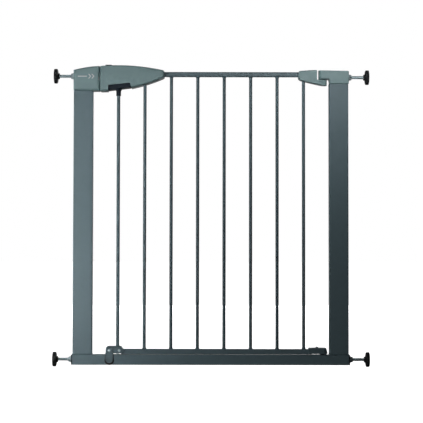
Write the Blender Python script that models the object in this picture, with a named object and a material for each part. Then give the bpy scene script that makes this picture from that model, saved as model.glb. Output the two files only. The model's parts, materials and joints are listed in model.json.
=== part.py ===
"""Pressure-fit stair gate with a lift-to-open latch.

The leaf hangs between two posts that are joined by a base bar. It turns about the hinge axis beside
the right post. The latch is in the handle at the leaf's top left corner: lifting the trigger raises
the push rod out of the base bar and, through a bell crank, draws the bolt out of the keeper.

Metres, +Z up. The origin is on the floor, midway between the wall pads. -Y is the front.
"""
import math

import bmesh
import bpy
from mathutils import Matrix, Vector

MM = 0.001
GAP = 0.3 * MM                      # between pieces that touch

# frame
POST_X = 288.5 * MM                 # inner face of each post
POST_OUT_X = 336.0 * MM             # outer face of each post
POST_DEPTH = 20.0 * MM
TUBE_WALL = 1.5 * MM
BASE_Z0 = 5.0 * MM                  # underside of the base bar
BASE_SIDE = 25.0 * MM
BASE_Z1 = BASE_Z0 + BASE_SIDE
END_CAP_THICK = 2.7 * MM
LEFT_POST_TOP = 681.0 * MM
RIGHT_POST_TOP = 691.1 * MM

# wall adjusters
PAD_FACE_X = {-1: 384.5 * MM, 1: 386.7 * MM}    # left and right pads are wound out unequally
PAD_R = 18.0 * MM
PAD_THICK = 8.8 * MM
PAD_HUB = 4.2 * MM
HALF_FLATS = 6.5 * MM               # M8 hexagon, half across the flats
FLANGE_R = 8.5 * MM
SPINDLE_R = 4.0 * MM                # M8
SPINDLE_IN_X = 302.0 * MM           # inner end of each spindle
SPINDLE_HOLE_R = 4.5 * MM
NUT_THICK = 6.8 * MM
LOW_SPINDLE_Z = 18.0 * MM
LEFT_SPINDLE_Z = 710.0 * MM
RIGHT_SPINDLE_Z = 707.8 * MM

# leaf
BAR_PITCH = 64.8 * MM
BAR_R = 4.0 * MM
RAIL = 12.0 * MM                    # side of the top rail
TOP_RAIL_Z = 714.6 * MM             # centre of the top rail
LOW_RAIL_Z0 = 31.0 * MM
LOW_RAIL_Z1 = 43.3 * MM
LEFT_BRACKET_Z1 = 50.2 * MM         # top of the latch bracket

# hinge side
HINGE_X = 274.0 * MM
HINGE_PIN_R = 4.0 * MM
CAP_NOSE_X = 263.5 * MM             # the hinge cap reaches from here over the leaf's tongue
CAP_OUT_X = POST_OUT_X + 1.2 * MM
CAP_TOP_Z = 724.2 * MM
CAP_HALF_D = 14.0 * MM
ARM_HALF_D = 12.0 * MM
SHOULDER_X = 259.4 * MM             # end of the arm's full height, beside the cap's nose
TONGUE_Z0, TONGUE_Z1 = 687.6 * MM, 701.4 * MM
RIGHT_BRACKET_Z1 = 46.6 * MM        # top of the lower hinge bracket
RIGHT_BRACKET_HALF_D = 11.5 * MM
BRACKET_SCREW_X = 259.0 * MM

# latch
HOUSING_DEPTH = 40.0 * MM           # handle and keeper, front to back
SHELL = 2.4 * MM
HANDLE_X0 = -271.1 * MM
HANDLE_X1 = -114.3 * MM
CREST_X = -228.0 * MM               # highest point of the handle
CREST_Z = 735.5 * MM
CREST_DROP = 9.8 * MM               # fall of the crown 100 mm away from its crest
HANDLE_FOOT_Z = 671.9 * MM
SOLE_RISE = 33.0 * MM               # rise of the underside over its length
SOLE_LENGTH = 154.5 * MM
KEEPER_X1 = -272.3 * MM
KEEPER_FOOT_Z = 673.2 * MM
KEEPER_TOP_Z = 723.9 * MM           # crown of the keeper at the post's outer face
KEEPER_RISE = 9.4 * MM              # rise of the crown towards the handle
LIP_RISE = 1.5 * MM                 # rise of the lip on the post
ROD_X = -3.5 * BAR_PITCH            # push rod, the first bar of the row
ROD_R = 4.15 * MM
LIFT = 10.0 * MM                    # travel of the trigger
CRANK_X, CRANK_Z = -222.0 * MM, 724.0 * MM
CRANK_LIFT_ARM = 19.0 * MM          # trigger side of the bell crank
CRANK_BOLT_ARM = 22.0 * MM          # bolt side
CRANK_SWING = LIFT / CRANK_LIFT_ARM
BOLT_X0, BOLT_X1 = -282.6 * MM, -219.2 * MM
BOLT_Z = 702.5 * MM
BOLT_HALF_W, BOLT_HALF_H = 6.0 * MM, 6.0 * MM
MOUTH_ROOM = 0.6 * MM               # play round the bolt in the handle, keeper and strike plate
SLIDE_HALF_D = 14.0 * MM            # thumb slide
SCREW_SINK = 1.5 * MM               # depth of the counterbores at the back
SCREW_HOLE_R = 1.9 * MM
KEEPER_SCREWS = [(-308 * MM, 0, 690 * MM), (-308 * MM, 0, 718 * MM)]
HANDLE_SCREWS = [(-263.5 * MM, 0, 684 * MM), (-150 * MM, 0, 712 * MM)]
CORE_X, CORE_HALF_W = (-333.0 * MM, -292.0 * MM), 8.2 * MM
TAB_X, TAB_Z = -245.9 * MM, 39.9 * MM   # pivot of the stop tab
TAB_R = 8.9 * MM
TAB_LENGTH = 21.0 * MM              # pivot to the centre of the tab's round end
PAD_RIM = 2.6 * MM                  # reach of the tab's soft pad beyond it
TAB_FRONT_Y = -16.9 * MM
RIVET_X = {"tab_rivet": TAB_X, "bracket_rivet": -222.1 * MM}

for old in list(bpy.data.objects):
    bpy.data.objects.remove(old)


def material(name, rgb, roughness, metallic=0.0):
    mat = bpy.data.materials.new(name)
    mat.use_nodes = True
    shader = mat.node_tree.nodes["Principled BSDF"]
    shader.inputs["Base Color"].default_value = (*rgb, 1.0)
    shader.inputs["Roughness"].default_value = roughness
    shader.inputs["Metallic"].default_value = metallic
    return mat


FRAME_PAINT = material("frame_paint", (0.125, 0.165, 0.185), 0.45)
HOUSING = material("housing_plastic", (0.16, 0.22, 0.23), 0.5)
BLACK = material("black_plastic", (0.012, 0.014, 0.017), 0.45)
RUBBER = material("pad_rubber", (0.02, 0.021, 0.023), 0.75)
ZINC = material("zinc", (0.55, 0.56, 0.57), 0.35, 1.0)
STEEL = material("steel", (0.42, 0.42, 0.43), 0.3, 1.0)

# each body's empty stands on its joint's axis
BODIES = {
    "frame": (0, 0, 0),
    "leaf": (HINGE_X, 0, 0),
    "lift": (ROD_X, 0, 0),
    "bolt": (BOLT_X0, 0, BOLT_Z),
    "crank": (CRANK_X, 0, CRANK_Z),
    "thumb": (CREST_X, 0, CREST_Z),
    "tab": (TAB_X, 0, TAB_Z),
    "adjuster_top_left": (-PAD_FACE_X[-1], 0, LEFT_SPINDLE_Z),
    "adjuster_top_right": (PAD_FACE_X[1], 0, RIGHT_SPINDLE_Z),
    "adjuster_low_left": (-PAD_FACE_X[-1], 0, LOW_SPINDLE_Z),
    "adjuster_low_right": (PAD_FACE_X[1], 0, LOW_SPINDLE_Z),
}
EMPTIES = {}
for body, at in BODIES.items():
    EMPTIES[body] = bpy.data.objects.new(body + "_axis", None)
    EMPTIES[body].location = at
    bpy.context.scene.collection.objects.link(EMPTIES[body])


# ---- shapes ---------------------------------------------------------------

def new_object(name, bm):
    bmesh.ops.recalc_face_normals(bm, faces=bm.faces)
    mesh = bpy.data.meshes.new(name)
    bm.to_mesh(mesh)
    bm.free()
    obj = bpy.data.objects.new(name, mesh)
    bpy.context.scene.collection.objects.link(obj)
    return obj


def arc(cx, cz, r, start, end, steps):
    """Points of an arc, angles in degrees, both ends included."""
    turns = [math.radians(start + (end - start) * i / steps) for i in range(steps + 1)]
    return [(cx + r * math.cos(t), cz + r * math.sin(t)) for t in turns]


def rounded(points, radius, steps=3):
    """A polygon with each corner rounded: radius is one number, or one for each corner."""
    radii = radius if isinstance(radius, (list, tuple)) else [radius] * len(points)
    out = []
    for i, (corner, r) in enumerate(zip(points, radii)):
        here = Vector(corner)
        if r <= 0:
            out.append(tuple(here))
            continue
        back = (Vector(points[i - 1]) - here).normalized()
        ahead = (Vector(points[(i + 1) % len(points)]) - here).normalized()
        half = back.angle(ahead) / 2
        centre = here + (back + ahead).normalized() * r / math.sin(half)
        first = here + back * r / math.tan(half) - centre
        last = here + ahead * r / math.tan(half) - centre
        for k in range(steps + 1):
            spoke = first.lerp(last, k / steps).normalized() * r
            out.append(tuple(centre + spoke))
    return out


def box_outline(x0, x1, z0, z1, r=0.0, steps=3):
    return rounded([(x0, z0), (x1, z0), (x1, z1), (x0, z1)], r, steps)


def extrude(name, outline, along, a, b, soften=(), width=0.0, steps=2):
    """Extrude an outline along "x" (outline in y, z), "y" (x, z) or "z" (x, y) from a to b.

    The rim at each end named in soften is bevelled.
    """
    put = {"x": lambda p, q: (q, *p), "y": lambda p, q: (p[0], q, p[1]), "z": lambda p, q: (*p, q)}
    bm = bmesh.new()
    ends = [[bm.verts.new(put[along](p, at)) for p in outline] for at in (a, b)]
    caps = [bm.faces.new(ring) for ring in ends]
    count = len(outline)
    for i in range(count):
        j = (i + 1) % count
        bm.faces.new((ends[0][i], ends[0][j], ends[1][j], ends[1][i]))
    bmesh.ops.recalc_face_normals(bm, faces=bm.faces)
    rims = [edge for cap, at in zip(caps, (a, b)) if at in soften for edge in cap.edges]
    if rims:
        bmesh.ops.bevel(bm, geom=rims, offset=width, segments=steps, affect="EDGES", profile=0.5)
    return new_object(name, bm)


def loft(name, sections):
    """Join outlines of equal length, each given as (y, outline), and cap both ends."""
    bm = bmesh.new()
    rings = [[bm.verts.new((x, y, z)) for x, z in outline] for y, outline in sections]
    for low, high in zip(rings, rings[1:]):
        for i in range(len(low)):
            j = (i + 1) % len(low)
            bm.faces.new((low[i], low[j], high[j], high[i]))
    bm.faces.new(rings[0])
    bm.faces.new(rings[-1])
    return new_object(name, bm)


def box(name, x0, x1, y0, y1, z0, z1):
    return extrude(name, box_outline(x0, x1, z0, z1), "y", y0, y1)


def turned(name, profile, at, axis, sides=32):
    """Turn a profile of (distance along the axis, radius) about an axis through at."""
    turn = {"x": Matrix.Identity(3), "y": Matrix.Rotation(math.pi / 2, 3, "Z"),
            "z": Matrix.Rotation(-math.pi / 2, 3, "Y")}[axis]
    bm = bmesh.new()
    rings = []
    for dist, r in profile:
        angles = [2 * math.pi * i / sides for i in range(sides)]
        spots = [Vector((dist, r * math.cos(t), r * math.sin(t))) for t in angles]
        rings.append([bm.verts.new(turn @ spot + Vector(at)) for spot in spots])
    for low, high in zip(rings, rings[1:]):
        for i in range(sides):
            j = (i + 1) % sides
            bm.faces.new((low[i], low[j], high[j], high[i]))
    bm.faces.new(rings[0])
    bm.faces.new(rings[-1])
    return new_object(name, bm)


def rod(name, at, axis, a, b, r, chamfer=0.0, sides=20):
    """A cylinder from a to b along the axis through at, with chamfered ends."""
    c = chamfer
    profile = [(a, r), (b, r)]
    if c:
        profile = [(a, r - c), (a + c, r), (b - c, r), (b, r - c)]
    return turned(name, profile, at, axis, sides)


def ring(name, at, axis, a, b, r_out, r_in, sides=32):
    """A bush or washer: outer and inner walls from a to b along the axis."""
    body = rod(name, at, axis, a, b, r_out, 0.0, sides)
    cut(body, rod(name + "_bore", at, axis, a - MM, b + MM, r_in, 0.0, sides))
    return body


def boolean(obj, tool, operation):
    tool.hide_render = True
    tool.display_type = "WIRE"
    step = obj.modifiers.new(operation.lower(), "BOOLEAN")
    step.operation = operation
    step.object = tool
    return obj


def cut(obj, *tools):
    for tool in tools:
        boolean(obj, tool, "DIFFERENCE")
    return obj


def join(obj, *tools):
    for tool in tools:
        boolean(obj, tool, "UNION")
    return obj


def finish(obj, body, mat):
    """Put a piece on its body's empty, give it its material and shade it."""
    pivot = Vector(BODIES[body])
    obj.data.transform(Matrix.Translation(-pivot))
    obj.parent = EMPTIES[body]
    obj.data.materials.append(mat)
    obj.data.shade_smooth()
    obj.data.set_sharp_from_angle(angle=math.radians(35))
    return obj


# ---- frame ----------------------------------------------------------------

def tube(name, along, half_a, half_b, centre, start, end):
    """A rectangular tube with rounded corners, open at both ends."""
    ca, cb = centre
    outer = box_outline(ca - half_a, ca + half_a, cb - half_b, cb + half_b, 2.5 * MM)
    w = TUBE_WALL
    inner = box_outline(ca - half_a + w, ca + half_a - w, cb - half_b + w, cb + half_b - w, MM)
    body = extrude(name, outer, along, start, end)
    return cut(body, extrude(name + "_hollow", inner, along, start - MM, end + MM))


def build_frame():
    half_w = (POST_OUT_X - POST_X) / 2
    for side, label, top in ((-1, "left", LEFT_POST_TOP), (1, "right", RIGHT_POST_TOP)):
        centre = (side * (POST_X + half_w), 0.0)
        post = tube("post_" + label, "z", half_w, POST_DEPTH / 2, centre, BASE_Z1 + GAP, top)
        finish(post, "frame", FRAME_PAINT)
    mid_z = BASE_Z0 + BASE_SIDE / 2
    base = tube("base_bar", "x", BASE_SIDE / 2, BASE_SIDE / 2, (0.0, mid_z), -POST_OUT_X, POST_OUT_X)
    latch_hole = rod("latch_hole", (ROD_X, 0, 0), "z", BASE_Z1 - 4 * MM, BASE_Z1 + MM, 5.3 * MM)
    hinge_hole = rod("hinge_hole", (HINGE_X, 0, 0), "z", BASE_Z1 - 4 * MM, BASE_Z1 + MM, 4.3 * MM)
    finish(cut(base, latch_hole, hinge_hole), "frame", FRAME_PAINT)
    bush = ring("latch_bush", (ROD_X, 0, 0), "z", BASE_Z1 - 7 * MM, BASE_Z1 + GAP, 5 * MM, 3.5 * MM)
    finish(bush, "frame", BLACK)
    for side, label in ((-1, "left"), (1, "right")):
        finish(base_end_cap(side, label), "frame", BLACK)


def base_end_cap(side, label):
    """A cap with a plug that fills the tube's end and a hole for the spindle."""
    mid_z = BASE_Z0 + BASE_SIDE / 2
    half, plug = BASE_SIDE / 2, BASE_SIDE / 2 - TUBE_WALL - GAP
    face = box_outline(-half, half, mid_z - half, mid_z + half, 2.5 * MM)
    inner = box_outline(-plug, plug, mid_z - plug, mid_z + plug, MM)
    out = side * (POST_OUT_X + GAP)
    rim = out + side * END_CAP_THICK
    cap = extrude("base_end_cap_" + label, face, "x", out, rim, (rim,), MM)
    join(cap, extrude("cap_plug_" + label, inner, "x", out + side * MM, out - side * 16 * MM))
    ends = sorted((0, rim + side * MM))
    return cut(cap, rod("cap_hole_" + label, (0, 0, LOW_SPINDLE_Z), "x", *ends, SPINDLE_HOLE_R))


def keeper_outline(d):
    """Side view of the keeper, inset by d: a crown that rises towards the handle."""
    x0, x1 = -POST_OUT_X + d, KEEPER_X1 - d
    crown = [(x0 + (x1 - x0) * i / 6, i / 6) for i in range(7)]
    top = [(x, KEEPER_TOP_Z + KEEPER_RISE * math.sin(t * math.pi / 2) - d) for x, t in crown]
    foot = KEEPER_FOOT_Z + d
    lip = [(x0 + 27 * MM * t, foot + LIP_RISE * (1 - t) ** 2) for t in (0, 0.25, 0.5, 0.75, 1)]
    return rounded(lip + [(x1, foot)] + top[::-1], [0] * 5 + [2 * MM] + [1.2 * MM] + [0] * 6)


def shell_half(name, outline, side, rim):
    """Half of a two-part housing, hollow on its split face. side is -1 at the front."""
    face, split = side * HOUSING_DEPTH / 2, side * GAP / 2
    turns = [math.pi / 6 * i for i in range(4)]
    edge = [(face - side * rim * (1 - math.cos(t)), outline(rim * (1 - math.sin(t)))) for t in turns]
    half = loft(name, edge + [(split, outline(0.0))])
    hollow = extrude(name + "_hollow", outline(SHELL), "y", face - side * SHELL, -side * MM)
    return cut(half, hollow)


def build_keeper():
    half_d = HOUSING_DEPTH / 2
    mouth_y, mouth_z = BOLT_HALF_W + MOUTH_ROOM, BOLT_HALF_H + MOUTH_ROOM
    slit = [(KEEPER_X1 - 3.8 * MM, 698 * MM), (KEEPER_X1 + MM, 698 * MM),
            (KEEPER_X1 + MM, 720 * MM), (KEEPER_X1 - 0.6 * MM, 720 * MM)]
    for side, label in ((-1, "front"), (1, "rear")):
        shell = shell_half("keeper_shell_" + label, keeper_outline, side, 3 * MM)
        tag = "_" + label
        post_room = box("keeper_post_room" + tag, -POST_OUT_X - MM, -POST_X + GAP,
                        -POST_DEPTH / 2 - GAP, POST_DEPTH / 2 + GAP, 0.65, LEFT_POST_TOP + GAP)
        mouth = box("keeper_mouth" + tag, KEEPER_X1 - 4 * MM, KEEPER_X1 + MM, -mouth_y, mouth_y,
                    BOLT_Z - mouth_z, BOLT_Z + mouth_z)
        hole = rod("keeper_hole" + tag, (0, 0, LEFT_SPINDLE_Z), "x", -POST_OUT_X - MM,
                   -POST_OUT_X + 4 * MM, SPINDLE_HOLE_R)
        core_room = box("core_room" + tag, *(x + s for x, s in zip(CORE_X, (-GAP, GAP))),
                        -CORE_HALF_W - GAP, CORE_HALF_W + GAP, 0.66, 0.69)
        cut(shell, post_room, mouth, hole, core_room)
        if side < 0:
            cut(shell, extrude("keeper_slit", slit, "y", -half_d - MM, -half_d + 8 * MM))
        else:
            cut(shell, *(way for spot in KEEPER_SCREWS for way in screw_ways(spot, half_d)))
        finish(shell, "frame", HOUSING)
    core = extrude("keeper_core", box_outline(*CORE_X, 640 * MM, 721 * MM, MM, 1), "y",
                   -CORE_HALF_W, CORE_HALF_W)
    cut(core, rod("core_hole", (0, 0, LEFT_SPINDLE_Z), "x", -0.34, -0.28, SPINDLE_HOLE_R))
    for n, spot in enumerate(KEEPER_SCREWS):
        cut(core, rod(f"core_screw_hole_{n}", spot, "y", 2 * MM, 0.02, SCREW_HOLE_R, 0, 16))
        finish(pan_screw(f"keeper_screw_{n + 1}", spot, half_d, 3 * MM), "frame", ZINC)
    finish(core, "frame", BLACK)
    plate = box("strike_plate", KEEPER_X1 - SHELL - 1.9 * MM, KEEPER_X1 - SHELL - GAP, -11 * MM,
                11 * MM, 690 * MM, 722 * MM)
    window = box("strike_window", KEEPER_X1 - 6 * MM, KEEPER_X1, -mouth_y, mouth_y,
                 BOLT_Z - mouth_z, BOLT_Z + mouth_z)
    finish(cut(plate, window), "frame", STEEL)


def pan_screw(name, at, face_y, tip_y):
    """A screw along Y whose pan head lies in a counterbore, just under face_y."""
    seat, top = face_y - SCREW_SINK + GAP, face_y - 0.1 * MM
    profile = [(tip_y, 0.7 * MM), (tip_y + 2 * MM, 1.5 * MM), (seat, 1.5 * MM), (seat, 3.1 * MM),
               (top - 0.4 * MM, 3.1 * MM), (top, 2.4 * MM)]
    return turned(name, profile, at, "y", 16)


def screw_ways(at, face_y):
    """The counterbore and through hole that a pan screw needs in a rear shell."""
    yield rod("screw_counterbore", at, "y", face_y - SCREW_SINK, face_y + MM, 3.5 * MM, 0, 16)
    yield rod("screw_hole", at, "y", 0, face_y + MM, SCREW_HOLE_R, 0, 16)


def build_hinge_cap():
    """The right post's cap: an arm over the leaf's tongue, a body on the post, a plug in it."""
    start, seat = CAP_NOSE_X - 1.5 * MM, RIGHT_POST_TOP + GAP
    side_view = [(start, 703 * MM), (POST_X + 0.1 * MM, 703 * MM), (POST_X + 1.8 * MM, seat),
                 (CAP_OUT_X, seat), (CAP_OUT_X, CAP_TOP_Z - 1.2 * MM), (start, CAP_TOP_Z)]
    corner = [0, 0, 0, 0, 3 * MM, 0]
    cap = extrude("hinge_cap", rounded(side_view, corner), "y", -CAP_HALF_D, CAP_HALF_D,
                  (-CAP_HALF_D, CAP_HALF_D), 2 * MM)
    wide = CAP_HALF_D + 0.1 * MM
    plan = box_outline(CAP_NOSE_X, 0.34, -wide, wide, [10 * MM, 0, 0, 10 * MM], 7)
    boolean(cap, extrude("cap_plan", plan, "z", 0.68, 0.74), "INTERSECT")
    inset = TUBE_WALL + GAP
    plug = box_outline(POST_X + inset, POST_OUT_X - inset, -POST_DEPTH / 2 + inset,
                       POST_DEPTH / 2 - inset, MM)
    join(cap, extrude("cap_post_plug", plug, "z", 0.665, 0.695))
    spindle_hole = rod("cap_spindle_hole", (0, 0, RIGHT_SPINDLE_Z), "x", POST_X + 2 * MM, 0.34,
                       SPINDLE_HOLE_R)
    cut(cap, spindle_hole,
        rod("cap_pin_hole", (HINGE_X, 0, 0), "z", 0.69, 0.718, HINGE_PIN_R + GAP))
    finish(cap, "frame", HOUSING)
    pin = rod("upper_hinge_pin", (HINGE_X, 0, 0), "z", 686.8 * MM, 717.6 * MM, HINGE_PIN_R, 0.6 * MM)
    finish(pin, "frame", ZINC)
    washer = ring("hinge_washer", (HINGE_X, 0, 0), "z", 701.7 * MM, 702.7 * MM, 9.2 * MM, 4.4 * MM)
    finish(washer, "frame", BLACK)
    pin = rod("lower_hinge_pin", (HINGE_X, 0, 0), "z", 9 * MM, 43 * MM, HINGE_PIN_R, 0.6 * MM)
    finish(pin, "frame", ZINC)
    bush = ring("lower_hinge_bush", (HINGE_X, 0, 0), "z", BASE_Z1 + GAP, 31.7 * MM, 8 * MM, 4.4 * MM)
    finish(bush, "frame", BLACK)


# ---- wall adjusters -------------------------------------------------------

def build_adjuster(label, side, z, bearing_x):
    """A wall pad on a threaded spindle, set by a nut that bears on the frame at bearing_x."""
    body = "adjuster_" + label
    mid = (0, 0, z)
    face = side * PAD_FACE_X[side]
    back = face - side * PAD_THICK
    hub = back - side * PAD_HUB
    pad = turned("wall_pad_" + label, [
        (face, PAD_R - 1.5 * MM), (face - side * 1.5 * MM, PAD_R), (back + side * 3 * MM, PAD_R),
        (back + side * MM, PAD_R - MM), (back, PAD_R - 3 * MM), (back, 8.4 * MM),
        (back - side * MM, 7.5 * MM), (hub, 6.8 * MM)], mid, "x")
    socket = sorted((hub - side * MM, hub + side * 6 * MM))
    cut(pad, rod("pad_socket_" + label, mid, "x", *socket, SPINDLE_R + GAP))
    finish(pad, body, RUBBER)
    inner, outer = side * SPINDLE_IN_X, hub + side * 5.5 * MM
    spindle = rod("spindle_" + label, mid, "x", min(inner, outer), max(inner, outer), SPINDLE_R, MM)
    finish(spindle, body, ZINC)
    near, far = bearing_x + side * GAP, bearing_x + side * (GAP + NUT_THICK)
    corner_r = HALF_FLATS / math.cos(math.pi / 6)
    turns = [math.pi / 3 * i for i in range(6)]
    hexagon = [(corner_r * math.cos(t), corner_r * math.sin(t) + z) for t in turns]
    nut = extrude("nut_" + label, hexagon, "x", near, far, (far,), 0.5 * MM, 1)
    flange = sorted((near, near + side * 1.5 * MM))
    bore = sorted((near - side * MM, far + side * MM))
    join(nut, rod("flange_" + label, mid, "x", *flange, FLANGE_R))
    cut(nut, rod("nut_bore_" + label, mid, "x", *bore, SPINDLE_R + GAP))
    finish(nut, body, ZINC)


# ---- leaf -----------------------------------------------------------------

def build_leaf_grid():
    half = RAIL / 2
    section = box_outline(-half, half, TOP_RAIL_Z - half, TOP_RAIL_Z + half, 3 * MM)
    finish(extrude("top_rail", section, "x", -130 * MM, 221.5 * MM), "leaf", FRAME_PAINT)
    section = box_outline(-half, half, LOW_RAIL_Z0, LOW_RAIL_Z1, 2.5 * MM)
    finish(extrude("bottom_rail", section, "x", -218 * MM, 246 * MM), "leaf", FRAME_PAINT)
    for n in range(2, 9):
        x = (n - 4.5) * BAR_PITCH
        top = {2: 0.7, 8: 0.705}.get(n, TOP_RAIL_Z - half - GAP)
        bar = rod(f"bar_{n}", (x, 0, 0), "z", LOW_RAIL_Z1 + GAP, top, BAR_R, 0, 16)
        finish(bar, "leaf", FRAME_PAINT)


def build_hinge_side():
    rail_room = RAIL / 2 + GAP
    foot = [(219 + 56 * t, 700.2 - 12.6 * (1 - (1 - t) ** 1.2)) for t in (0, 0.2, 0.4, 0.6, 0.8, 1)]
    side_view = [(x * MM, z * MM) for x, z in [(213.8, 722.6), (213.8, 704)] + foot]
    side_view += [(HINGE_X + 11 * MM, TONGUE_Z0), (HINGE_X + 11 * MM, TONGUE_Z1),
                  (SHOULDER_X, TONGUE_Z1), (SHOULDER_X, 725.4 * MM), (240 * MM, 724.6 * MM),
                  (222 * MM, 723.3 * MM)]
    outline = rounded(side_view, [5 * MM, 4 * MM] + [0] * 12)
    arm = extrude("hinge_arm", outline, "y", -ARM_HALF_D, ARM_HALF_D, (-ARM_HALF_D, ARM_HALF_D),
                  2.5 * MM)
    wide = ARM_HALF_D + 0.5 * MM
    plan = arc(HINGE_X, 0, 10 * MM, 75, -75, 10)
    plan += [(262 * MM, -wide), (0.2, -wide), (0.2, wide), (262 * MM, wide)]
    boolean(arm, extrude("arm_plan", plan, "z", 0.68, 0.74), "INTERSECT")
    cut(arm, box("arm_rail_room", 0.21, 221.8 * MM, -rail_room, rail_room,
                 TOP_RAIL_Z - rail_room, TOP_RAIL_Z + rail_room),
        rod("arm_bar_room", (3.5 * BAR_PITCH, 0, 0), "z", 0.68, 0.7053, BAR_R + GAP, 0, 16),
        rod("arm_pin_room", (HINGE_X, 0, 0), "z", 0.68, 0.71, HINGE_PIN_R + GAP))
    finish(arm, "leaf", HOUSING)

    half, top = RIGHT_BRACKET_HALF_D, RIGHT_BRACKET_Z1
    outline = rounded([(238.5 * MM, 32 * MM), (HINGE_X + half, 32 * MM), (281 * MM, top),
                       (238.5 * MM, top)], 2 * MM)
    bracket = extrude("lower_hinge_bracket", outline, "y", -half, half, (-half, half), 1.5 * MM)
    plan = arc(HINGE_X, 0, half, 90, -90, 14) + [(0.23, -half), (0.23, half)]
    boolean(bracket, extrude("bracket_plan", plan, "z", 0.02, 0.06), "INTERSECT")
    cut(bracket, box("bracket_rail_room", 0.23, 246.3 * MM, -rail_room, rail_room,
                     LOW_RAIL_Z0 - GAP, LOW_RAIL_Z1 + GAP),
        rod("bracket_pin_room", (HINGE_X, 0, 0), "z", 0.02, 43.3 * MM, HINGE_PIN_R + GAP),
        rod("bracket_screw_room", (BRACKET_SCREW_X, 0, 0), "z", 37 * MM, 0.06, SCREW_HOLE_R, 0, 16))
    finish(bracket, "leaf", FRAME_PAINT)
    seat = top + GAP
    screw = turned("hinge_bracket_screw", [
        (seat - 9.5 * MM, 1.5 * MM), (seat, 1.5 * MM), (seat, 3.4 * MM), (seat + 1.4 * MM, 3.2 * MM),
        (seat + 2.3 * MM, 2.2 * MM), (seat + 2.6 * MM, 1.5 * MM)],
        (BRACKET_SCREW_X, 0, 0), "z", 16)
    finish(screw, "leaf", ZINC)


def build_latch_bracket():
    """The block at the leaf's lower left corner that guides the push rod's end."""
    outline = rounded([(-255.3 * MM, 33 * MM), (-216 * MM, 33 * MM), (-209.5 * MM, 39 * MM),
                       (-218 * MM, LEFT_BRACKET_Z1), (-255.3 * MM, LEFT_BRACKET_Z1)],
                      [2 * MM, 3 * MM, 3 * MM, 4 * MM, 7 * MM])
    depth = 12.5 * MM
    bracket = extrude("latch_bracket", outline, "y", -depth, depth, (-depth, depth), 1.2 * MM)
    rail_room = RAIL / 2 + GAP
    cut(bracket, box("latch_rail_room", -218.3 * MM, -0.2, -rail_room, rail_room,
                     LOW_RAIL_Z0 - 2 * MM, LOW_RAIL_Z1 + GAP),
        rod("latch_rod_room", (ROD_X, 0, 0), "z", 0.038, 0.06, 4.7 * MM),
        rod("latch_bush_room", (ROD_X, 0, 0), "z", 0.03, 0.0381, 5.3 * MM))
    for name, x in RIVET_X.items():
        cut(bracket, rod(name + "_way", (x, 0, TAB_Z), "y", -0.02, -7 * MM, SCREW_HOLE_R, 0, 16))
    finish(bracket, "leaf", FRAME_PAINT)
    bush = ring("rod_guide_bush", (ROD_X, 0, 0), "z", 33.3 * MM, 37.8 * MM, 5 * MM, 3.5 * MM)
    finish(bush, "leaf", BLACK)
    for name, seat in (("tab_rivet", TAB_FRONT_Y), ("bracket_rivet", -depth)):
        top = seat - GAP
        rivet = turned(name, [
            (top - 1.6 * MM, 1.5 * MM), (top - 1.3 * MM, 2.4 * MM), (top - 0.6 * MM, 3.2 * MM),
            (top, 3.4 * MM), (top, 1.5 * MM), (-7.5 * MM, 1.5 * MM)], (RIVET_X[name], 0, TAB_Z), "y", 16)
        finish(rivet, "leaf", ZINC)


def build_stop_tab():
    """The tab that hangs over the base bar's front, and the soft pad behind it."""
    back = TAB_FRONT_Y + 2.2 * MM
    for name, rim, y0, y1, mat in (
            ("stop_tab", 0, TAB_FRONT_Y, back, FRAME_PAINT),
            ("stop_tab_pad", PAD_RIM, back + GAP, back + GAP + 1.6 * MM, RUBBER)):
        outline = arc(TAB_X, TAB_Z - TAB_LENGTH - rim, TAB_R + rim, 180, 360, 14)
        outline += arc(TAB_X, TAB_Z, TAB_R, 0, 180, 12)
        tab = extrude(name, outline, "y", y0, y1, (y0,), 0.5 * MM)
        cut(tab, rod(name + "_hole", (TAB_X, 0, TAB_Z), "y", -0.02, -0.01, 1.8 * MM, 0, 16))
        finish(tab, "tab", mat)


# ---- handle and latch -----------------------------------------------------

def handle_outline(d):
    """Side view of the handle, inset by d: two parabolas that meet a blunt tip."""
    x0, x1 = HANDLE_X0 + d, HANDLE_X1 - d
    end = x1 - 3 * MM
    crown = [end + (x0 - end) * i / 14 for i in range(15)]
    sole = [x0 + (end - x0) * i / 12 for i in range(13)]
    top = [(x, CREST_Z - CREST_DROP * ((x - CREST_X) / 0.1) ** 2 - d) for x in crown]
    foot = [(x, HANDLE_FOOT_Z + SOLE_RISE * ((x - HANDLE_X0) / SOLE_LENGTH) ** 2 + d) for x in sole]
    tip = [(x1, foot[-1][1] + 2.5 * MM), (x1, top[0][1] - 2.5 * MM)]
    points = foot + tip + top
    radii = [2 * MM] + [0] * (len(foot) - 1) + [1.5 * MM] * 2 + [0] * (len(top) - 1) + [1.5 * MM]
    return rounded(points, radii)


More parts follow.
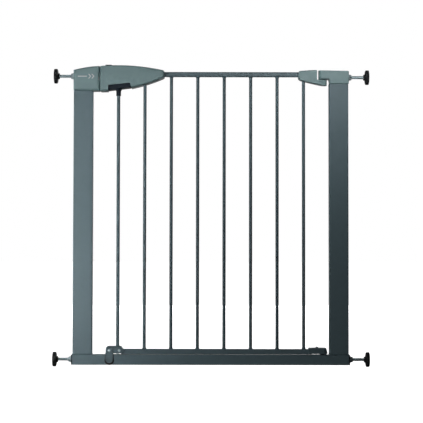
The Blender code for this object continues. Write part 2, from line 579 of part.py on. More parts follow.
def handle_cutters(tag):
    """What both halves of the handle are cut by: bolt mouth, trigger recess, rail, bar, button."""
    room = RAIL / 2 + GAP
    recess = [(-252.2, 660), (-251.2, 686.6), (-198.0, 692.0), (-194.9, 681), (-194.9, 660)]
    mouth_y, mouth_z = BOLT_HALF_W + MOUTH_ROOM, BOLT_HALF_H + MOUTH_ROOM
    yield box("bolt_mouth" + tag, -0.28, HANDLE_X0 + 4 * MM, -mouth_y, mouth_y, BOLT_Z - mouth_z,
              BOLT_Z + mouth_z)
    yield extrude("trigger_recess" + tag, [(x * MM, z * MM) for x, z in recess], "y", -0.03, 0.03)
    yield box("handle_rail_room" + tag, -130.3 * MM, -0.1, -room, room, TOP_RAIL_Z - room,
              TOP_RAIL_Z + room)
    yield rod("handle_bar_room" + tag, (-2.5 * BAR_PITCH, 0, 0), "z", 0.68, 0.7003, BAR_R + GAP)
    wide = SLIDE_HALF_D + 0.5 * MM
    yield box("button_pocket" + tag, -259.0 * MM, -236.0 * MM, -wide, wide, 734.1 * MM, 0.75)
    yield box("button_slot" + tag, -254.6 * MM, -242.4 * MM, -5.8 * MM, 5.8 * MM, 0.728, 0.75)


def build_handle():
    half_d = HOUSING_DEPTH / 2
    for side, label in ((-1, "front"), (1, "rear")):
        tag = "_" + label
        shell = shell_half("handle_shell" + tag, handle_outline, side, 4 * MM)
        face, split = side * (half_d - 1.5 * MM), side * GAP / 2
        for n, spot in enumerate(HANDLE_SCREWS):
            boss = rod(f"boss_{n}" + tag, spot, "y", *sorted((face, split)), 4.2 * MM, 0, 16)
            join(shell, boss)
            if side < 0:
                blind = rod(f"screw_pilot_{n}", spot, "y", -16 * MM, 0, SCREW_HOLE_R, 0, 16)
                cut(shell, blind)
            else:
                cut(shell, *screw_ways(spot, half_d))
        cut(shell, *handle_cutters(tag))
        finish(shell, "leaf", HOUSING)
    for n, spot in enumerate(HANDLE_SCREWS):
        finish(pan_screw(f"handle_screw_{n + 1}", spot, half_d, -14 * MM), "leaf", ZINC)
    wall = half_d - SHELL - GAP
    pin = rod("crank_pin", (CRANK_X, 0, CRANK_Z), "y", -wall, wall, 2 * MM, 0, 16)
    finish(pin, "leaf", STEEL)
    finish(return_spring(), "leaf", STEEL)


def return_spring():
    """A compression spring between the trigger's rear wall and the roof of the handle."""
    x, y, z0, z1 = -240 * MM, 11.2 * MM, 699.2 * MM, 731.9 * MM
    coil_r, wire_r, turns, per_turn = 3.0 * MM, 0.5 * MM, 6, 10
    curve = bpy.data.curves.new("return_spring", "CURVE")
    curve.dimensions = "3D"
    curve.bevel_depth = wire_r
    curve.bevel_resolution = 1
    curve.use_fill_caps = True
    line = curve.splines.new("POLY")
    count = turns * per_turn
    line.points.add(count)
    for i in range(count + 1):
        t = 2 * math.pi * i / per_turn
        z = z0 + (z1 - z0) * i / count
        line.points[i].co = (x + coil_r * math.cos(t), y + coil_r * math.sin(t), z, 1)
    guide = bpy.data.objects.new("spring_guide", curve)
    mesh = bpy.data.meshes.new_from_object(guide)
    bpy.data.objects.remove(guide)
    spring = bpy.data.objects.new("return_spring", mesh)
    bpy.context.scene.collection.objects.link(spring)
    return spring


def build_trigger():
    """The trigger: a wedge with a channel for the bolt and crank, a stem and a lifting post."""
    wedge = [(-251.6, 674.6), (-195.7, 681.8), (-197.5, 698), (-250.6, 698)]
    outline = rounded([(x * MM, z * MM) for x, z in wedge], 2 * MM, 2)
    trigger = extrude("trigger", outline, "y", -15 * MM, 15 * MM, (-15 * MM, 15 * MM), 1.5 * MM)
    cut(trigger, box("channel", -0.26, -0.19, -7.5 * MM, 7.5 * MM, 686 * MM, 0.71))
    stem = turned("stem", [(661.5 * MM, 5.2 * MM), (662.3 * MM, 5.75 * MM), (672.5 * MM, 5.9 * MM),
                           (676 * MM, 7.4 * MM), (680 * MM, 10 * MM)], (ROD_X, 0, 0), "z", 24)
    post = box("lifting_post", -205.5 * MM, -200.5 * MM, -3 * MM, 3 * MM, 684 * MM, 714.5 * MM)
    join(trigger, stem, post)
    cut(trigger, rod("rod_socket", (ROD_X, 0, 0), "z", 0.65, 675.5 * MM, ROD_R + GAP))
    finish(trigger, "lift", BLACK)
    push = rod("push_rod", (ROD_X, 0, 0), "z", 47 * MM, 675.2 * MM, ROD_R, 0, 20)
    finish(push, "lift", FRAME_PAINT)
    pin = rod("lock_pin", (ROD_X, 0, 0), "z", 22 * MM, 46.7 * MM, 3 * MM, MM)
    finish(pin, "lift", ZINC)


def build_bolt():
    z0, z1 = BOLT_Z - BOLT_HALF_H, BOLT_Z + BOLT_HALF_H
    nose = rounded([(BOLT_X0, z0), (BOLT_X1, z0), (BOLT_X1, z1), (BOLT_X0, z1)],
                   [2 * MM, MM, MM, 2 * MM], 2)
    bolt = extrude("latch_bolt", nose, "y", -BOLT_HALF_W, BOLT_HALF_W, (-BOLT_HALF_W, BOLT_HALF_W),
                   0.8 * MM, 1)
    cut(bolt, box("crank_window", -232.4 * MM, -223.2 * MM, -2.8 * MM, 2.8 * MM, 0.69, 0.72))
    finish(bolt, "bolt", STEEL)


def build_crank():
    """Two arms on one hub. Half its swing lies each side of the bolt arm's upright."""
    lean = CRANK_SWING / 2
    down = (-math.sin(lean), -math.cos(lean))
    tip_x = CRANK_X + CRANK_BOLT_ARM * down[0]
    tip_z = CRANK_Z + CRANK_BOLT_ARM * down[1]
    lift_x, lift_z = CRANK_X + CRANK_LIFT_ARM, CRANK_Z - 6.2 * MM
    crank = rod("bell_crank", (CRANK_X, 0, CRANK_Z), "y", -2.2 * MM, 2.2 * MM, 5 * MM)
    for n, (x, z, r) in enumerate(((tip_x, tip_z, 2.4 * MM), (lift_x, lift_z, 2.8 * MM))):
        join(crank, arm_bar(f"crank_arm_{n}", x, z, r))
    cut(crank, rod("crank_bore", (CRANK_X, 0, CRANK_Z), "y", -3 * MM, 3 * MM, 2.3 * MM, 0, 16))
    finish(crank, "crank", STEEL)


def arm_bar(name, x, z, r):
    """A round-ended bar from the crank's hub to (x, z)."""
    heading = math.degrees(math.atan2(z - CRANK_Z, x - CRANK_X))
    outline = arc(x, z, r, heading - 90, heading + 90, 8)
    outline += arc(CRANK_X, CRANK_Z, 3 * MM, heading + 90, heading + 270, 8)
    return extrude(name, outline, "y", -2 * MM, 2 * MM)


def build_thumb_slide():
    """A button on the roof of the handle, its neck in a slot and a foot inside."""
    outline = box_outline(-258.5 * MM, -242.5 * MM, 734.4 * MM, 736.6 * MM, [0, 0, MM, MM], 2)
    slide = extrude("thumb_slide", outline, "y", -SLIDE_HALF_D, SLIDE_HALF_D,
                    (-SLIDE_HALF_D, SLIDE_HALF_D), 0.5 * MM, 1)
    join(slide, box("slide_neck", -254 * MM, -249 * MM, -5 * MM, 5 * MM, 0.727, 0.7355),
         box("slide_foot", -257 * MM, -243.5 * MM, -7 * MM, 7 * MM, 0.7195, 0.7295))
    finish(slide, "thumb", BLACK)


build_frame()
build_keeper()
build_hinge_cap()
build_adjuster("top_left", -1, LEFT_SPINDLE_Z, -POST_OUT_X)
build_adjuster("top_right", 1, RIGHT_SPINDLE_Z, CAP_OUT_X)
build_adjuster("low_left", -1, LOW_SPINDLE_Z, -POST_OUT_X - GAP - END_CAP_THICK)
build_adjuster("low_right", 1, LOW_SPINDLE_Z, POST_OUT_X + GAP + END_CAP_THICK)
build_leaf_grid()
build_hinge_side()
build_latch_bracket()
build_stop_tab()
build_handle()
build_trigger()
build_bolt()
build_crank()
build_thumb_slide()
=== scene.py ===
"""Looks of the stair gate: fine meshes, procedural materials, light and camera on the CAD frame.

Metres, +Z up, -Y is the front. Each fine piece stands for one CAD node and takes its place and size
from that node's box. The handle and keeper repeat the curves that the CAD outlines follow.
"""
import json
import math

import bmesh
import bpy
from mathutils import Matrix, Vector


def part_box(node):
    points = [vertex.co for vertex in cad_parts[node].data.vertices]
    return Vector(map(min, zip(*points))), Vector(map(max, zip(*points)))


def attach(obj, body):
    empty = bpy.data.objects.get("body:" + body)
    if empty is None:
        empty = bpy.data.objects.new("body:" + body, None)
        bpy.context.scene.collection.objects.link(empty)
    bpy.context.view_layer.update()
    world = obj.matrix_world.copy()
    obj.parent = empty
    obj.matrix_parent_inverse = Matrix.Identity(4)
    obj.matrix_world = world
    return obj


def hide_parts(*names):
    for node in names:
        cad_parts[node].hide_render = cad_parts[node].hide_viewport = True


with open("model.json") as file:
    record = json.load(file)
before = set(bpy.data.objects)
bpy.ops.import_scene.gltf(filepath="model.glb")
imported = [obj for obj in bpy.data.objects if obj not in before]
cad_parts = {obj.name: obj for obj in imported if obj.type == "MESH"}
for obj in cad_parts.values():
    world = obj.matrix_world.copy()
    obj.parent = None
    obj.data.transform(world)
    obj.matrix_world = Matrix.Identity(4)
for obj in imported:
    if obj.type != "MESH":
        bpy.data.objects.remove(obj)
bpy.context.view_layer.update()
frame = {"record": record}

MM = 0.001
BODY_OF = {n: b for b, nodes in frame["record"]["behaviour"]["bodies"].items() for n in nodes}
SLOT_OF = {part["node"]: part["material_slot"] for part in frame["record"]["subparts"]}
SEAT = 0.35 * MM                    # reach of a weld or seat over the CAD gap
SPINDLE_HOLE_R = 4.5 * MM
PIN_HOLE_R = 4.3 * MM               # room for the hinge pins and the bars
SCREW_HOLE_R = 1.9 * MM
MOUTH_ROOM = 0.6 * MM               # play round the bolt


# ---- materials ------------------------------------------------------------

class Nodes:
    """A short way to wire a material's nodes."""

    def __init__(self, name):
        self.mat = bpy.data.materials.new(name)
        self.mat.use_nodes = True
        self.tree = self.mat.node_tree
        self.shader = self.tree.nodes["Principled BSDF"]
        self.place = self.add("ShaderNodeTexCoord").outputs["Object"]

    def add(self, kind, **settings):
        node = self.tree.nodes.new(kind)
        for key, value in settings.items():
            setattr(node, key, value)
        return node

    def link(self, source, target):
        self.tree.links.new(source, target)

    def noise(self, scale, detail=3.0, stretch=(1, 1, 1), roughness=0.5):
        mapping = self.add("ShaderNodeMapping")
        mapping.inputs["Scale"].default_value = stretch
        self.link(self.place, mapping.inputs["Vector"])
        node = self.add("ShaderNodeTexNoise")
        node.inputs["Scale"].default_value = scale
        node.inputs["Detail"].default_value = detail
        node.inputs["Roughness"].default_value = roughness
        self.link(mapping.outputs["Vector"], node.inputs["Vector"])
        return node.outputs["Fac"]

    def ramp(self, source, stops):
        """A colour ramp: stops are (place, colour) with a colour of one or three numbers."""
        node = self.add("ShaderNodeValToRGB")
        ends = node.color_ramp.elements
        while len(ends) < len(stops):
            ends.new(0.5)
        for end, (at, colour) in zip(ends, stops):
            end.position = at
            rgb = colour if isinstance(colour, (tuple, list)) else (colour,) * 3
            end.color = (*rgb, 1.0)
        self.link(source, node.inputs["Fac"])
        return node.outputs["Color"]

    def mix(self, amount, a, b):
        node = self.add("ShaderNodeMix", data_type="RGBA")
        self.link(amount, node.inputs["Factor"])
        self.link(a, node.inputs[6])
        self.link(b, node.inputs[7])
        return node.outputs[2]

    def tone(self, colour, share):
        return tuple(min(1.0, c * share) for c in colour)

    def bump(self, heights):
        """Chain bumps: each is (height, strength, distance in metres)."""
        normal = None
        for height, strength, distance in heights:
            node = self.add("ShaderNodeBump")
            node.inputs["Strength"].default_value = strength
            node.inputs["Distance"].default_value = distance
            self.link(height, node.inputs["Height"])
            if normal:
                self.link(normal, node.inputs["Normal"])
            normal = node.outputs["Normal"]
        self.link(normal, self.shader.inputs["Normal"])


def edges_of(nodes, low=0.505, high=0.56):
    """White on sharp convex edges, black elsewhere."""
    geometry = nodes.add("ShaderNodeNewGeometry")
    return nodes.ramp(geometry.outputs["Pointiness"], [(low, 0.0), (high, 1.0)])


def powder_coat(name, colour):
    """Satin powder coat: orange peel, faint clouding, fine speckle, rubbed convex stretches."""
    n = Nodes(name)
    cloud = n.ramp(n.noise(9, 4), [(0.3, n.tone(colour, 0.985)), (0.7, n.tone(colour, 1.015))])
    grain = n.ramp(n.noise(2600, 2), [(0.35, n.tone(colour, 0.8)), (0.65, n.tone(colour, 1.2))])
    part = n.ramp(n.noise(700, 3), [(0.35, 0.12), (0.75, 0.34)])
    body = n.mix(part, cloud, grain)
    worn = n.ramp(n.noise(60, 4), [(0.3, n.tone(colour, 1.24)), (0.8, n.tone(colour, 1.32))])
    n.link(n.mix(edges_of(n), body, worn), n.shader.inputs["Base Color"])
    n.link(n.ramp(n.noise(35, 5), [(0.3, 0.47), (0.7, 0.50)]), n.shader.inputs["Roughness"])
    n.bump([(n.noise(850, 2), 0.22, 0.00012), (n.noise(3000, 1), 0.10, 0.00004)])
    n.shader.inputs["Specular IOR Level"].default_value = 0.38
    return n.mat


def moulded(name, colour, rough=(0.42, 0.58), grain=0.22, wear=1.35, shine=0.42):
    """Moulded plastic: spark-eroded grain, flow clouding, dull patches, polished edges."""
    n = Nodes(name)
    flow = n.ramp(n.noise(22, 5, (1, 1, 2.2)), [(0.3, n.tone(colour, 0.94)),
                                                (0.7, n.tone(colour, 1.06))])
    specks = n.ramp(n.noise(3200, 1), [(0.4, n.tone(colour, 0.86)), (0.6, n.tone(colour, 1.14))])
    part = n.ramp(n.noise(900, 2), [(0.4, 0.15), (0.7, 0.4)])
    body = n.mix(part, flow, specks)
    rub = n.ramp(n.noise(90, 3), [(0.4, n.tone(colour, 1.08)), (0.7, n.tone(colour, wear))])
    n.link(n.mix(edges_of(n), body, rub), n.shader.inputs["Base Color"])
    n.link(n.ramp(n.noise(48, 4), [(0.3, rough[0]), (0.7, rough[1])]),
           n.shader.inputs["Roughness"])
    n.bump([(n.noise(2400, 2), grain, 0.00006), (n.noise(420, 2), 0.06, 0.00015)])
    n.shader.inputs["Specular IOR Level"].default_value = shine
    return n.mat


def rubber(name, colour):
    """Matt rubber: bloom in patches, a pebbled skin, scuffs."""
    n = Nodes(name)
    bloom = n.ramp(n.noise(70, 5), [(0.35, n.tone(colour, 0.8)), (0.75, n.tone(colour, 1.9))])
    dark = n.ramp(n.noise(1500, 2), [(0.3, n.tone(colour, 0.7)), (0.7, n.tone(colour, 1.3))])
    part = n.ramp(n.noise(260, 3), [(0.4, 0.25), (0.7, 0.7)])
    n.link(n.mix(part, bloom, dark), n.shader.inputs["Base Color"])
    n.link(n.ramp(n.noise(120, 4), [(0.3, 0.62), (0.7, 0.82)]), n.shader.inputs["Roughness"])
    n.bump([(n.noise(1700, 2), 0.35, 0.0001), (n.noise(300, 3), 0.12, 0.0002)])
    return n.mat


def plated(name, colour, rough, spangle=0.0, stretch=(1, 1, 1), metal=1.0):
    """Bare or plated metal: drawn streaks along stretch, stained patches, optional zinc spangle.

    A dull passivated plating scatters like a pigment, so metal may be less than one.
    """
    n = Nodes(name)
    stain = n.ramp(n.noise(140, 4), [(0.35, n.tone(colour, 0.82)), (0.7, n.tone(colour, 1.08))])
    streak = n.ramp(n.noise(900, 3, stretch), [(0.35, n.tone(colour, 0.88)),
                                               (0.65, n.tone(colour, 1.1))])
    part = n.ramp(n.noise(50, 2), [(0.3, 0.3), (0.7, 0.7)])
    n.link(n.mix(part, stain, streak), n.shader.inputs["Base Color"])
    n.link(n.ramp(n.noise(600, 3, stretch), [(0.3, rough[0]), (0.7, rough[1])]),
           n.shader.inputs["Roughness"])
    n.shader.inputs["Metallic"].default_value = metal
    heights = [(n.noise(1600, 2, stretch), 0.12, 0.00004)]
    if spangle:
        cells = n.add("ShaderNodeTexVoronoi")
        cells.inputs["Scale"].default_value = 1300
        n.link(n.place, cells.inputs["Vector"])
        heights.append((cells.outputs["Distance"], spangle, 0.00005))
    n.bump(heights)
    return n.mat


def pad_print(name, colour):
    """White printing ink: thin in places, so the plastic dulls it."""
    n = Nodes(name)
    n.link(n.ramp(n.noise(1400, 3), [(0.3, n.tone(colour, 0.8)), (0.6, colour)]),
           n.shader.inputs["Base Color"])
    n.link(n.ramp(n.noise(500, 2), [(0.3, 0.4), (0.7, 0.6)]), n.shader.inputs["Roughness"])
    n.bump([(n.noise(2600, 1), 0.1, 0.00003)])
    return n.mat


FINISH = {
    "frame_paint": powder_coat("blue_grey_powder_coat", (0.104, 0.160, 0.184)),
    "housing_plastic": moulded("grey_green_plastic", (0.218, 0.334, 0.346)),
    "black_plastic": moulded("black_plastic", (0.016, 0.024, 0.034), (0.5, 0.62), 0.3, 2.0, 0.15),
    "pad_rubber": rubber("black_rubber", (0.016, 0.018, 0.020)),
    "zinc": plated("zinc_plate", (0.56, 0.68, 0.72), (0.34, 0.48), 0.18, metal=0.45),
    "steel": plated("drawn_steel", (0.46, 0.46, 0.47), (0.28, 0.44), 0.0, (0.15, 1, 1)),
}
INK = pad_print("white_print", (0.74, 0.77, 0.77))


# ---- mesh tools -----------------------------------------------------------

PUT = {"x": lambda p, q: (q, p[0], p[1]), "y": lambda p, q: (p[0], q, p[1]),
       "z": lambda p, q: (p[0], p[1], q)}


def to_object(name, bm):
    bmesh.ops.remove_doubles(bm, verts=bm.verts, dist=1e-7)
    bmesh.ops.recalc_face_normals(bm, faces=bm.faces)
    mesh = bpy.data.meshes.new(name)
    bm.to_mesh(mesh)
    bm.free()
    obj = bpy.data.objects.new(name, mesh)
    bpy.context.scene.collection.objects.link(obj)
    return obj


def skin(name, rings, loop=False):
    """Join rings of equal length. The ends are capped, or joined to each other in a loop."""
    bm = bmesh.new()
    made = [[bm.verts.new(p) for p in ring] for ring in rings]
    pairs = list(zip(made, made[1:])) + ([(made[-1], made[0])] if loop else [])
    for low, high in pairs:
        for i in range(len(low)):
            j = (i + 1) % len(low)
            bm.faces.new((low[i], low[j], high[j], high[i]))
    if not loop:
        bm.faces.new(made[0])
        bm.faces.new(made[-1])
    return to_object(name, bm)


def arc(cx, cz, r, start, end, steps):
    turns = [math.radians(start + (end - start) * i / steps) for i in range(steps + 1)]
    return [(cx + r * math.cos(t), cz + r * math.sin(t)) for t in turns]


def rounded(points, radius, steps=8):
    """A polygon with its corners rounded: radius is one number, or one for each corner."""
    radii = radius if isinstance(radius, (list, tuple)) else [radius] * len(points)
    out = []
    for i, (corner, r) in enumerate(zip(points, radii)):
        here = Vector(corner)
        if r <= 0:
            out.append(tuple(here))
            continue
        back = (Vector(points[i - 1]) - here).normalized()
        ahead = (Vector(points[(i + 1) % len(points)]) - here).normalized()
        half = back.angle(ahead) / 2
        centre = here + (back + ahead).normalized() * r / math.sin(half)
        first = here + back * r / math.tan(half) - centre
        last = here + ahead * r / math.tan(half) - centre
        for k in range(steps + 1):
            out.append(tuple(centre + first.lerp(last, k / steps).normalized() * r))
    return out


def rect(a0, a1, b0, b1, r=0.0, steps=8):
    return rounded([(a0, b0), (a1, b0), (a1, b1), (a0, b1)], r, steps)


def inset(outline, d):
    """The outline moved inwards by d, corner by corner."""
    count = len(outline)
    area = sum(outline[i - 1][0] * p[1] - p[0] * outline[i - 1][1] for i, p in enumerate(outline))
    turn = 1 if area > 0 else -1
    out = []
    for i, p in enumerate(outline):
        before = (Vector(p) - Vector(outline[i - 1])).normalized()
        after = (Vector(outline[(i + 1) % count]) - Vector(p)).normalized()
        n1 = Vector((-before.y, before.x)) * turn
        n2 = Vector((-after.y, after.x)) * turn
        out.append(tuple(Vector(p) + (n1 + n2) * d / (1 + n1.dot(n2))))
    return out


def block(name, outline, along, a, b, edge=0.4 * MM, steps=3):
    """An outline extruded from a to b, with rounded rims."""
    side = 1 if b > a else -1
    if not edge:
        return skin(name, [[PUT[along](p, at) for p in outline] for at in (a, b)])
    turns = [math.pi / 2 * i / steps for i in range(steps + 1)]
    start = [(a + side * edge * (1 - math.sin(t)), edge * (1 - math.cos(t))) for t in turns[::-1]]
    stop = [(b - side * edge * (1 - math.sin(t)), edge * (1 - math.cos(t))) for t in turns]
    rings = [[PUT[along](p, at) for p in inset(outline, d)] for at, d in start + stop]
    return skin(name, rings)


def box(name, x0, x1, y0, y1, z0, z1, edge=0.0, corner=0.0):
    return block(name, rect(x0, x1, z0, z1, corner), "y", y0, y1, edge)


def turned(name, profile, at, axis, sides=48, loop=False):
    """Turn (distance along the axis, radius) pairs about the axis through at."""
    angles = [2 * math.pi * i / sides for i in range(sides)]
    where = Vector(at)
    plane = {"x": (1, 2, 0), "y": (0, 2, 1), "z": (0, 1, 2)}[axis]
    rings = []
    for dist, r in profile:
        ring = []
        for t in angles:
            p = [0.0, 0.0, 0.0]
            p[plane[0]], p[plane[1]], p[plane[2]] = r * math.cos(t), r * math.sin(t), dist
            ring.append(tuple(Vector(p) + where))
        rings.append(ring)
    return skin(name, rings, loop)


def rod(name, at, axis, a, b, r, edge=0.0, sides=48):
    if not edge:
        return turned(name, [(a, r), (b, r)], at, axis, sides)
    profile = [(a, r - edge), (a + edge * 0.3, r - edge * 0.3), (a + edge, r),
               (b - edge, r), (b - edge * 0.3, r - edge * 0.3), (b, r - edge)]
    return turned(name, profile, at, axis, sides)


def ring(name, at, axis, a, b, r_out, r_in, edge=0.25 * MM, sides=48):
    """A bush or washer with rounded rims."""
    profile = [(a, r_out - edge), (a + edge, r_out), (b - edge, r_out), (b, r_out - edge),
               (b, r_in + edge), (b - edge, r_in), (a + edge, r_in), (a, r_in + edge)]
    return turned(name, profile, at, axis, sides, loop=True)


def combine(obj, operation, *tools):
    """Boolean the tools into obj one by one and keep the result as its mesh."""
    for tool in tools:
        step = obj.modifiers.new(operation, "BOOLEAN")
        step.operation = operation
        step.object = tool
    settle(obj)
    for tool in tools:
        bpy.data.objects.remove(tool)
    return obj


def cut(obj, *tools):
    return combine(obj, "DIFFERENCE", *tools)


def join(obj, *tools):
    return combine(obj, "UNION", *tools)


def settle(obj):
    """Make the evaluated mesh the object's own."""
    bpy.context.view_layer.update()
    seen = obj.evaluated_get(bpy.context.evaluated_depsgraph_get())
    mesh = bpy.data.meshes.new_from_object(seen)
    obj.modifiers.clear()
    obj.data = mesh
    return obj


def soften(obj, width=0.4 * MM, angle=38, steps=2):
    """Round the edges that a Boolean left sharp."""
    bm = bmesh.new()
    bm.from_mesh(obj.data)
    bmesh.ops.remove_doubles(bm, verts=bm.verts, dist=2e-6)
    bmesh.ops.dissolve_limit(bm, angle_limit=math.radians(0.5), verts=bm.verts, edges=bm.edges)
    bm.to_mesh(obj.data)
    bm.free()
    bevel = obj.modifiers.new("edge", "BEVEL")
    bevel.width = width
    bevel.segments = steps
    bevel.limit_method = "ANGLE"
    bevel.angle_limit = math.radians(angle)
    bevel.use_clamp_overlap = True
    return settle(obj)


def dress(obj, node=None, body=None, finish=None, sharp=42):
    """Shade a piece, give it its finish and its body, and let it stand for its CAD node."""
    slot = finish or SLOT_OF[node]
    obj.data.materials.clear()
    obj.data.materials.append(FINISH[slot])
    obj.data.shade_smooth()
    obj.data.set_sharp_from_angle(angle=math.radians(sharp))
    normals = obj.modifiers.new("flat faces stay flat", "WEIGHTED_NORMAL")
    normals.keep_sharp = True
    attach(obj, body or BODY_OF[node])
    if node:
        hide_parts(node)
    return obj


def spans(node):
    """x0, x1, y0, y1, z0, z1 of a CAD node."""
    low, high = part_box(node)
    return low.x, high.x, low.y, high.y, low.z, high.z


# ---- frame ----------------------------------------------------------------

TUBE_R = 2.5 * MM
TUBE_WALL = 1.5 * MM


def sleeve(name, outline, along, a, b):
    """A tube of constant wall with lightly broken rims, open at both ends."""
    edge = 0.3 * MM
    steps = [(a, edge), (a + edge, 0), (b - edge, 0), (b, edge), (b, TUBE_WALL - edge),
             (b - edge, TUBE_WALL), (a + edge, TUBE_WALL), (a, TUBE_WALL - edge)]
    rings = [[PUT[along](p, at) for p in inset(outline, d)] for at, d in steps]
    return skin(name, rings, loop=True)


def weld_bead(name, outline, z, high, wide):
    """A ripple of weld around an upright's foot."""
    rings = []
    count = 7
    for i in range(count):
        t = math.pi / 2 * i / (count - 1)
        out, up = wide * (1 - math.sin(t)), high * (1 - math.cos(t))
        ring_points = []
        for k, p in enumerate(inset(outline, -max(out, 0.05 * MM))):
            ripple = 1 + 0.1 * math.sin(k * 2.1)
            ring_points.append((p[0], p[1], z + up * ripple))
        rings.append(ring_points)
    rings.append([(p[0], p[1], z) for p in inset(outline, 0.2 * MM)])
    return skin(name, rings, loop=True)


def build_frame():
    base_top = spans("base_bar")[5]
    for side in ("left", "right"):
        x0, x1, y0, y1, z0, z1 = spans("post_" + side)
        outline = rect(x0, x1, y0, y1, TUBE_R)
        dress(sleeve("post_tube_" + side, outline, "z", z0 - SEAT, z1), "post_" + side)
        dense = [tuple(Vector(a).lerp(Vector(b), t / 12)) for a, b in
                 zip(outline, outline[1:] + outline[:1]) for t in
                 (range(12) if (Vector(a) - Vector(b)).length > 3 * MM else (0,))]
        bead = weld_bead("post_weld_" + side, dense, base_top - 0.1 * MM, 2.6 * MM, 2.2 * MM)
        dress(bead, body="frame", finish="frame_paint", sharp=60)
        dress(base_cap(side), "base_end_cap_" + side)
    x0, x1, y0, y1, z0, z1 = spans("base_bar")
    bar = sleeve("base_tube", rect(y0, y1, z0, z1, TUBE_R), "x", x0, x1)
    for node, room in (("latch_bush", 0.15 * MM), ("lower_hinge_pin", 0.2 * MM)):
        a0, a1 = spans(node)[:2]
        hole = rod("hole", ((a0 + a1) / 2, 0, 0), "z", z1 - 4 * MM, z1 + MM, (a1 - a0) / 2 + room)
        cut(bar, hole)
    dress(bar, "base_bar")
    turned_ring("latch_bush", "z", 3.5 * MM)
    turned_ring("lower_hinge_bush", "z", 4.4 * MM)
    turned_ring("hinge_washer", "z", 4.4 * MM)
    for node in ("upper_hinge_pin", "lower_hinge_pin"):
        plain_rod(node, "z", 0.6 * MM)


def base_cap(side):
    """A square cap with a shallow panel round the spindle hole and a plug in the tube."""
    x0, x1, y0, y1, z0, z1 = spans("base_end_cap_" + side)
    sign = -1 if side == "left" else 1
    rim = x0 if sign < 0 else x1
    tip = x1 if sign < 0 else x0
    seat = rim - sign * 2.7 * MM
    face = block("base_cap_" + side, rect(y0, y1, z0, z1, TUBE_R), "x", seat - sign * 0.2 * MM, rim,
                 0.8 * MM)
    wall = TUBE_WALL + 0.3 * MM
    plug = rect(y0 + wall, y1 - wall, z0 + wall, z1 - wall, MM)
    join(face, block("plug", plug, "x", seat + sign * MM, tip, 0.4 * MM))
    mid_z = spans("spindle_low_" + side)[4] + 4 * MM
    panel = rect(y0 + 2.2 * MM, y1 - 2.2 * MM, z0 + 2.2 * MM, z1 - 2.2 * MM, 1.2 * MM)
    cut(face, block("panel", panel, "x", rim - sign * 0.25 * MM, rim + sign * MM, 0),
        rod("hole", (0, 0, mid_z), "x", *sorted((tip - sign * MM, rim + sign * MM)),
            SPINDLE_HOLE_R))
    return soften(face, 0.2 * MM)


def turned_ring(node, axis, r_in):
    x0, x1, _, _, z0, z1 = spans(node)
    at = ((x0 + x1) / 2, 0, 0)
    dress(ring("fine_" + node, at, axis, z0, z1, (x1 - x0) / 2, r_in), node)


def plain_rod(node, axis, edge):
    """A straight round piece, from its node's box."""
    x0, x1, y0, y1, z0, z1 = spans(node)
    mid = Vector(((x0 + x1) / 2, (y0 + y1) / 2, (z0 + z1) / 2))
    index = "xyz".index(axis)
    a, b = ((x0, x1), (y0, y1), (z0, z1))[index]
    r = (z1 - z0) / 2 if axis != "z" else (x1 - x0) / 2
    mid[index] = 0
    dress(rod("fine_" + node, mid, axis, a, b, r, edge), node)


# ---- hinge side -----------------------------------------------------------

def build_hinge_cap():
    """The right post's cap: a round-nosed arm over the tongue, and a body with a plug."""
    hinge_x = sum(spans("upper_hinge_pin")[:2]) / 2
    x0, x1, y0, y1, z0, z1 = spans("hinge_cap")
    post = spans("post_right")
    post_top = post[5] + 0.3 * MM
    spindle = spans("spindle_top_right")
    side_view = [(x0 - MM, 703 * MM), (288.6 * MM, 703 * MM), (290.3 * MM, post_top),
                 (x1, post_top), (x1, z1 - 1.2 * MM), (x0 - MM, z1)]
    outline = rounded(side_view, [0, 1.2 * MM, 2.2 * MM, 2.2 * MM, 3 * MM, 0], 6)
    cap = block("fine_hinge_cap", outline, "y", y0, y1, 2.1 * MM, 6)
    plan = rect(x0, 0.34, y0 - MM, y1 + MM, [11 * MM, 0, 0, 11 * MM], 20)
    combine(cap, "INTERSECT", block("plan", plan, "z", 0.68, 0.74, 0))
    wall = TUBE_WALL + 0.3 * MM
    plug = rect(post[0] + wall, post[1] - wall, post[2] + wall, post[3] - wall, MM)
    join(cap, block("plug", plug, "z", z0, post_top + 2 * MM, 0.5 * MM))
    mid_z = (spindle[4] + spindle[5]) / 2
    cut(cap, rod("spindle_way", (0, 0, mid_z), "x", 0.2905, 0.34, SPINDLE_HOLE_R),
        rod("pin_way", (hinge_x, 0, 0), "z", 0.69, 0.718, PIN_HOLE_R))
    dress(soften(cap, 0.5 * MM, 40, 3), "hinge_cap")


